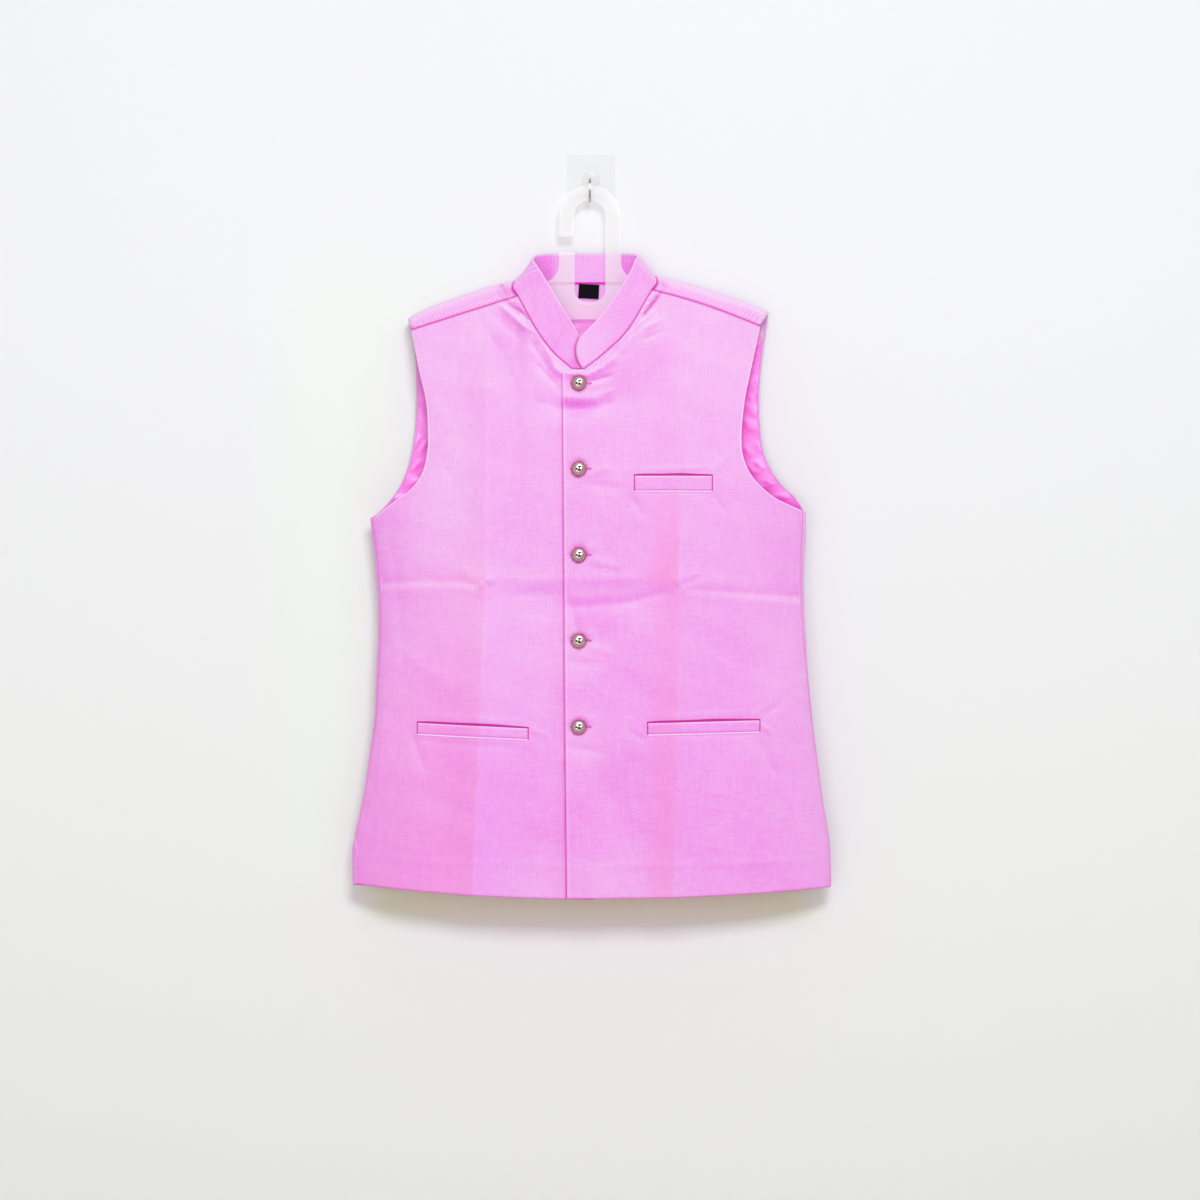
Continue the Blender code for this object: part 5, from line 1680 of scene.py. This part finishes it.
def aged_silver(name):
    material, wire, shader = new_finish(name, Metallic=1.0)
    at = wire.node("TexCoord", output="Object")
    grime = at.noise(900.0, 3.0)
    dark = (attribute(wire, "hollow") * 2.0 + (grime - 0.5) * 0.5).limited()
    # foot paints the cloth's reflection on the metal
    metal = attribute(wire, "foot").blend(SILVER, CLOTH_REFLECTION)
    plug(dark.blend(metal, PATINA), shader, "Base Color")
    plug(0.25 + dark * 0.3 + (grime - 0.5) * 0.15, shader, "Roughness")
    bump = wire.node("Bump", None, {"Height": grime, "Strength": 0.25, "Distance": 0.1 * MM})
    plug(bump, shader, "Normal")
    return material


button_metal = aged_silver("button_metal")
print(button_metal.name, "has", len(button_metal.node_tree.nodes), "nodes")

# %% The relief on a button
BUTTON_RADIUS = 8.2 * MM
BUTTON_DOME = 4.6 * MM
BUTTON_RIM = 1.2 * MM
BUTTON_CLEARANCE = 1.0 * MM
SHANK_RADIUS = 1.2 * MM
PETALS = 5
PITS = ((0.14, 0.3), (-0.3, -0.04), (0.1, -0.16))  # across and up, as shares of the radius
PIT_RADIUS = 0.15
RELIEF = 0.6 * MM
UPRIGHT_SHARE = 0.7  # how far a button stands straight, and not square on its slope
ARC_STEPS, ROUND_STEPS = 30, 112
RIBS = 24


def button_relief(share, angle):
    """How high the pattern stands at a share of the radius and an angle: below 0 in its hollows."""
    window = max(math.sin(math.pi * min(max((share - 0.06) / 0.5, 0), 1)), 0)
    petals = window * (abs(math.cos(PETALS / 2 * angle)) * 0.8 - 0.4)
    for across, up in PITS:
        away = math.hypot(share * math.cos(angle) - across, share * math.sin(angle) - up)
        petals -= 1.35 * math.exp(-((away / PIT_RADIUS) ** 2))
    groove = -0.45 if 0.6 < share < 0.65 else 0
    ribs = 0.22 * math.cos(RIBS * angle) if 0.65 <= share < 0.93 else 0
    return petals + groove + ribs


print("relief at the middle of a button:", round(button_relief(0.0, 0.0), 2))

# %% The five buttons
def make_button(name, level):
    origin = Vector((BUTTON_X, float(front_y(BUTTON_X, level)), level))
    normal = Vector(front_normal(np.float64(BUTTON_X), np.float64(level)))
    origin += normal * (CLOTH / 2 + BUTTON_CLEARANCE)
    normal = normal.lerp(Vector((0, -1, 0)), UPRIGHT_SHARE).normalized()
    arc = [math.radians(90 * k / ARC_STEPS) for k in range(ARC_STEPS + 1)]
    profile = [(BUTTON_RADIUS * math.sin(a), BUTTON_RIM + BUTTON_DOME * math.cos(a)) for a in arc]
    shank_end = -(BUTTON_CLEARANCE + CLOTH + 0.25 * MM)
    profile += [
        (BUTTON_RADIUS * 0.985, BUTTON_RIM * 0.5),
        (BUTTON_RADIUS * 0.9, 0),
        (SHANK_RADIUS, 0),
        (SHANK_RADIUS, shank_end),
        (0, shank_end),
    ]
    bm = bmesh.new()
    hollow = bm.verts.layers.float.new("hollow")
    foot = bm.verts.layers.float.new("foot")
    verts = [bm.verts.new((radius, 0, height)) for radius, height in profile]
    edges = [bm.edges.new(pair) for pair in zip(verts, verts[1:])]
    bmesh.ops.spin(
        bm, geom=[*verts, *edges], cent=(0, 0, 0), axis=(0, 0, 1),
        angle=2 * math.pi, steps=ROUND_STEPS, use_merge=True,
    )
    bmesh.ops.remove_doubles(bm, verts=bm.verts, dist=1e-6)
    bmesh.ops.recalc_face_normals(bm, faces=bm.faces)
    bm.normal_update()
    turn = Vector((0, 0, 1)).rotation_difference(normal)
    lifts = {}
    for vert in bm.verts:
        share = vert.co.xy.length / BUTTON_RADIUS
        rise = button_relief(share, math.atan2(vert.co.y, vert.co.x)) if vert.co.z > BUTTON_RIM * 1.2 else 0
        vert[hollow] = max(0.0, -rise * 1.5 - 0.1)
        # foot: painted reflection of the pink cloth on the rim, the lower half and the underside
        low = 0.5 * float(step(-vert.co.y / BUTTON_RADIUS / 0.8))
        vert[foot] = max(float(step((share - 0.78) / 0.2)), low) if vert.co.z > 0 else 1.0
        lifts[vert] = vert.normal * rise * RELIEF / 2
    for vert, lift in lifts.items():
        vert.co = turn @ (vert.co + lift) + origin
    return as_object(name, bm, button_metal)


buttons = [make_button(f"button_{n}_relief", level) for n, level in enumerate(BUTTON_LEVELS, 1)]
print(len(buttons), "buttons,", len(buttons[0].data.polygons), "faces each")

# %% [markdown]
# ## Buttonholes
#
# A buttonhole is worked over its raw edges with close stitches, and fans out round its end, like a
# keyhole. Each stitch is a tiny bead of thread, a few dozen faces, turned across the edge that
# it covers. One bead is shaped once and copied along the slit, and all five rows are one mesh.

# %% The stitches
STITCH = (0.3 * MM, 1.0 * MM)  # half width and half length
STITCH_STEP = 0.62 * MM
STITCH_OFF = SLIT[2] / 2 + 0.55 * MM  # from the middle of the slit to a stitch's own middle
FAN_OFF = SLIT[2] / 2 + 0.75 * MM
FAN_STITCHES = 9


def add_stitch(bm, x, z, angle, out):
    """A bead of thread on the front at (x, z), lying along that angle."""
    middle = Vector(on_front(x, z, out))
    normal = Vector(front_normal(np.float64(x), np.float64(z)))
    length = Vector((math.cos(angle), 0, math.sin(angle)))
    length = (length - normal * length.dot(normal)).normalized()
    across = normal.cross(length)
    made = bmesh.ops.create_uvsphere(bm, u_segments=6, v_segments=5, radius=1)["verts"]
    for vert in made:
        a, b, c = vert.co
        vert.co = middle + across * a * STITCH[0] + normal * b * STITCH[0] * 0.9 + length * c * STITCH[1]


bm = bmesh.new()
for level in BUTTON_LEVELS:
    low, high = BUTTON_X + SLIT[0], BUTTON_X + SLIT[1]
    count = int((high - low) / STITCH_STEP)
    for k in range(count + 1):
        for sign in (-1, 1):
            add_stitch(bm, low + k * STITCH_STEP, level + sign * STITCH_OFF, math.pi / 2, CLOTH / 2)
    for k in range(FAN_STITCHES):
        fan = math.radians(-80 + 20 * k)
        add_stitch(bm, high + math.cos(fan) * FAN_OFF * 0.9, level + math.sin(fan) * FAN_OFF, fan, CLOTH / 2)
bmesh.ops.recalc_face_normals(bm, faces=bm.faces)
stitches = as_object("buttonhole_stitches", bm, pink_thread)
print("stitches:", len(stitches.data.polygons), "faces")

# %% [markdown]
# ## Hanger and wall hook
#
# The hanger is cut from a milky plastic sheet that lets the pink behind it through. The wall hook is
# a clear plate with a low dome, and a bent steel wire. Their solids already have the right
# shape, so they stay, and only get their finishes. A milky plastic could be a volume, but a surface
# that is partly see-through is quicker, and looks the same on a plate three millimetres thick.

# %% Plastics and steel
PAINTED_REFLECTION_SPAN = (-15.2 * MM, -7.6 * MM)  # the levels between which the wire is painted matt white: a painted reflection
BARE_STEEL = (linear(236, 230, 230), linear(142, 130, 134))
REFLECTION_WHITE = linear(248, 248, 249)


def plastic(name, tint, alpha, roughness, cloud, glow):
    """A milky plastic. It passes light on inside, which a thin surface can only imitate by a faint glow,
    painted light that keeps it about as bright as the wall behind it.
    """
    material, wire, shader = new_finish(
        name, Alpha=alpha, Specular_IOR_Level=0.4, Emission_Color=tint, Emission_Strength=glow
    )
    at = wire.node("TexCoord", output="Object")
    flow = at.noise(24.0, 3.0)
    grain = at.noise(700.0)
    deeper = (*[part * 0.9 for part in tint[:3]], 1)
    plug(((flow - 0.5) * 2 * cloud + 0.5).limited().blend(deeper, tint), shader, "Base Color")
    plug(roughness + (grain - 0.5) * 0.12, shader, "Roughness")
    # the tips are cut thinner, and let more through, and their painted glow is left off
    across = at.part(0)
    tip = (across * across).ramp(0.030, 0.006)
    plug((1 - tip * 0.6) * alpha, shader, "Alpha")
    plug(tip.blend(tint, (0, 0, 0, 1)), shader, "Emission Color")
    bump = wire.node("Bump", None, {"Height": flow + grain * 0.1, "Strength": 0.2, "Distance": 0.4 * MM})
    plug(bump, shader, "Normal")
    return material


def drawn_steel(name):
    material, wire, shader = new_finish(name)
    at = wire.node("TexCoord", output="Object")
    level = at.part(2)
    lines = at.noise(600.0, 3.0)
    soft = 0.6 * MM
    # painted reflection: between these levels the wire is painted matt white, and not metallic
    painted_reflection = level.ramp(PAINTED_REFLECTION_SPAN[0], soft) * level.ramp(PAINTED_REFLECTION_SPAN[1], -soft)
    plug(painted_reflection.blend(lines.blend(*BARE_STEEL), REFLECTION_WHITE), shader, "Base Color")
    plug(1 - painted_reflection, shader, "Metallic")
    plug(0.16 + lines * 0.16 + painted_reflection * 0.3, shader, "Roughness")
    return material


# the last number of each is its painted glow
hanger_plastic = plastic("hanger_plastic", linear(253, 252, 252), 0.315, 0.34, 0.3, 0.11)
hook_plastic = plastic("hook_plastic", linear(246, 246, 244), 0.1, 0.2, 0.4, 0.02)
boss_plastic = plastic("hook_boss_plastic", linear(252, 252, 252), 0.32, 0.2, 0.4, 0.16)
hook_steel = drawn_steel("hook_wire")
for node, material in (
    ("hanger", hanger_plastic), ("wall_plate", hook_plastic),
    ("wall_boss", boss_plastic), ("wall_wire", hook_steel),
):
    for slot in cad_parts[node].material_slots:
        slot.material = material
    print(node, "is finished in", material.name)

# %% [markdown]
# ## What each piece stands for
#
# Every sheet replaces its solid, whose node is hidden, and rides on the one body. The size of cloth
# that it was cut from, a rectangle round the piece, is printed.

# %% Pieces, nodes and cuts
def cut_of(name, points):
    """The rectangle that a piece is cut from: its greatest lengths across and down."""
    cut = tuple(round(float(run_from(points, axis).max()) + 0.5 * MM, 3) for axis in (0, 1))
    print(name, "is cut from", cut[0], "by", cut[1], "m")
    return cut


pieces = [
    # piece, node, slot, points, area
    (right_front, "front_right", "jacket_cloth", right_points, flat_area(right_points)),
    (left_front, "front_left", "jacket_cloth", left_points, flat_area(left_points)),
    (back_panel, "back", "jacket_cloth", back_points, flat_area(back_points, back_keep)),
    (lining, "back_lining", "lining_satin", lining_points, flat_area(lining_points)),
    (collar, "collar", "jacket_cloth", collar_points, flat_area(collar_points)),
    (label, "neck_label", "label_woven", label_points, flat_area(label_points)),
]
for piece, node, slot, points, area in pieces:
    cut = cut_of(node, points)
    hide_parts(node)
    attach(piece, "root")
for name, welt, parts, face, area in welts:
    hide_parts(name)
    for piece in (welt, *parts):
        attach(piece, "root")
    cut = cut_of(name, face)
    front = "right_front_panel" if name == "welt_hip_right" else "left_front_panel"
for n, button in enumerate(buttons, 1):
    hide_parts(f"button_{n}")
    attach(button, "root")
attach(stitches, "root")

# %% [markdown]
# ## The wall, the floor and the light
#
# The jacket hangs on a plain white wall over a pale floor. A broad soft light stands above and in
# front, so shadows are soft and fall a little below the hem. A weaker one fills in from below on
# the left, and a pale sky does the rest. The wall's paint carries painted shade: it is painted
# darker towards the bottom, a warm painted shadow lies just under the hem, and a painted tint sits
# in the shade to the jacket's left. From behind, the wall is see-through, so that the back of the
# jacket can be looked at, and where the jacket covers the wall, it lets the sky's light through to
# the back. That part has to stay smaller than the jacket, or it shows as a grey patch beside the
# armholes.

# %% Wall and floor
WALL = (4.0, 3.0)
FLOOR_DEEP = 4.0
FLOOR_Z = -1.32
BEHIND_HOOK = 0.6 * MM  # the wall lies this far behind the hook's plate, so the two don't flicker


def stage_plane(name, size, place, upright, material):
    bm = bmesh.new()
    bmesh.ops.create_grid(bm, x_segments=1, y_segments=1, size=0.5)
    for vert in bm.verts:
        x, y = vert.co.x * size[0], vert.co.y * size[1]
        vert.co = Vector((x, 0, y) if upright else (x, y, 0)) + Vector(place)
    bmesh.ops.recalc_face_normals(bm, faces=bm.faces)
    want = Vector((0, -1, 0)) if upright else Vector((0, 0, 1))
    bm.faces.ensure_lookup_table()
    if bm.faces[0].normal.dot(want) < 0:
        bmesh.ops.reverse_faces(bm, faces=bm.faces)
    obj = as_object(name, bm, material)
    return obj

# %% The paint, with its painted shade, and the two planes
def paint(name, tint, from_behind):
    material, wire, shader = new_finish(name, Specular_IOR_Level=0.2)
    at = wire.node("TexCoord", output="Object")
    cloudy = at.noise(1.6)
    across, level = at.part(0), at.part(2)
    square = across * across
    # painted shade: how much a point belongs to the lower wall, painted darker, to the jacket's left, with a
    # painted tint in its shade, and to the strip under its hem, with a warm painted shadow
    lower = level.ramp(-0.15, -1.0) * float(from_behind)
    beside = square.ramp(0.16, -0.07) * level.ramp(-0.95, 0.05) * float(from_behind)
    left = beside * across.ramp(-0.05, -0.1) * level.ramp(-0.05, -0.1) * level.ramp(-0.84, 0.06)
    hem = square.ramp(0.075, -0.02) * level.ramp(-0.876, 0.034) * float(from_behind)
    hem = hem * level.ramp(-0.79, -0.02)
    even = 1 - cloudy * 0.015
    plug(wire.node("CombineColor", None, {
        "Red": even * (1 - lower * 0.07) * (1 - hem * 0.12) * tint[0],
        "Green": even * (1 - lower * 0.07) * (1 + left * 0.04 - hem * 0.06) * tint[1],
        "Blue": even * (1 - lower * 0.125) * (1 - left * 0.025 - hem * 0.3) * tint[2],
    }), shader, "Base Color")
    fine = at.noise(300.0)
    plug(0.8 + (fine - 0.5) * 0.1, shader, "Roughness")
    if from_behind:
        clear = wire.node("BsdfTransparent")
        behind = wire.node("NewGeometry", output="Backfacing")
        # the region that the jacket covers is narrower between the armholes
        by_arms = level.ramp(-0.47, 0.06)
        hidden = (square + by_arms * 0.022).ramp(0.047, -0.02)
        hidden = hidden * level.ramp(-0.13, -0.06) * level.ramp(-0.805, 0.05)
        face = Wire(wire.tree, shader.outputs[0])
        both = wire.node("MixShader", None, {0: (behind + hidden).limited(), 1: face, 2: clear})
        end = material.node_tree.nodes["Material Output"]
        material.node_tree.links.new(both.socket, end.inputs["Surface"])
    return material


wall_paint = paint("wall_paint", linear(243, 244, 246), True)
floor_paint = paint("floor_paint", linear(232, 230, 227), False)
wall = stage_plane("wall", WALL, (0.0, BEHIND_HOOK, FLOOR_Z + WALL[1] / 2), True, wall_paint)
floor = stage_plane("floor", (WALL[0], FLOOR_DEEP), (0.0, 0.0, FLOOR_Z), False, floor_paint)
print("stage:", wall.name, "and", floor.name, "at a level of", FLOOR_Z, "m")

# %% Light
SKY = (1.0, 0.95, 0.845, 1.0)
SKY_STRENGTH = 0.46
SOFTBOXES = (
    # name, place, target, width and height, power, tint
    ("key_softbox", (0.6, -4.2, 2.0), (0.0, 0.0, -0.45), (1.7, 1.1), 107.0, (0.965, 1.0, 1.09)),
    ("fill_softbox", (-0.9, -3.6, -0.8), (0.0, 0.0, -0.7), (2.0, 2.0), 20.0, (0.97, 1.0, 1.08)),
)
scene = bpy.context.scene
scene.view_settings.view_transform = "Standard"
world = bpy.data.worlds.new("pale_sky")
world.use_nodes = True
world.node_tree.nodes["Background"].inputs["Color"].default_value = SKY
world.node_tree.nodes["Background"].inputs["Strength"].default_value = SKY_STRENGTH
scene.world = world


def softbox(name, place, target, size, power, tint):
    lamp = bpy.data.lights.new(name, "AREA")
    lamp.shape = "RECTANGLE"
    lamp.size, lamp.size_y = size
    lamp.energy = power
    lamp.color = tint
    obj = bpy.data.objects.new(name, lamp)
    obj.location = place
    obj.rotation_euler = (Vector(target) - Vector(place)).to_track_quat("-Z", "Y").to_euler()
    scene.collection.objects.link(obj)


for row in SOFTBOXES:
    softbox(*row)
print("lamps:", ", ".join(row[0] for row in SOFTBOXES))

# %% [markdown]
# ## The camera
#
# The view is straight on, from far away with a long lens, so there is hardly any perspective. The
# frame is 1380 mm wide where the jacket hangs.

# %% Camera
FRAME_WIDTH = 1.380
FRAME_MIDDLE = (10.35 * MM, -0.030, -0.4891)
DISTANCE = 5.0
SENSOR = 36.0
eye = bpy.data.cameras.new("camera")
eye.sensor_width = SENSOR
eye.lens = SENSOR * DISTANCE / FRAME_WIDTH
camera = bpy.data.objects.new("camera", eye)
camera.location = (FRAME_MIDDLE[0], FRAME_MIDDLE[1] - DISTANCE, FRAME_MIDDLE[2])
camera.rotation_euler = (math.pi / 2, 0.0, 0.0)
scene.collection.objects.link(camera)
scene.camera = camera
print("lens", round(eye.lens, 1), "mm, from", DISTANCE, "m")
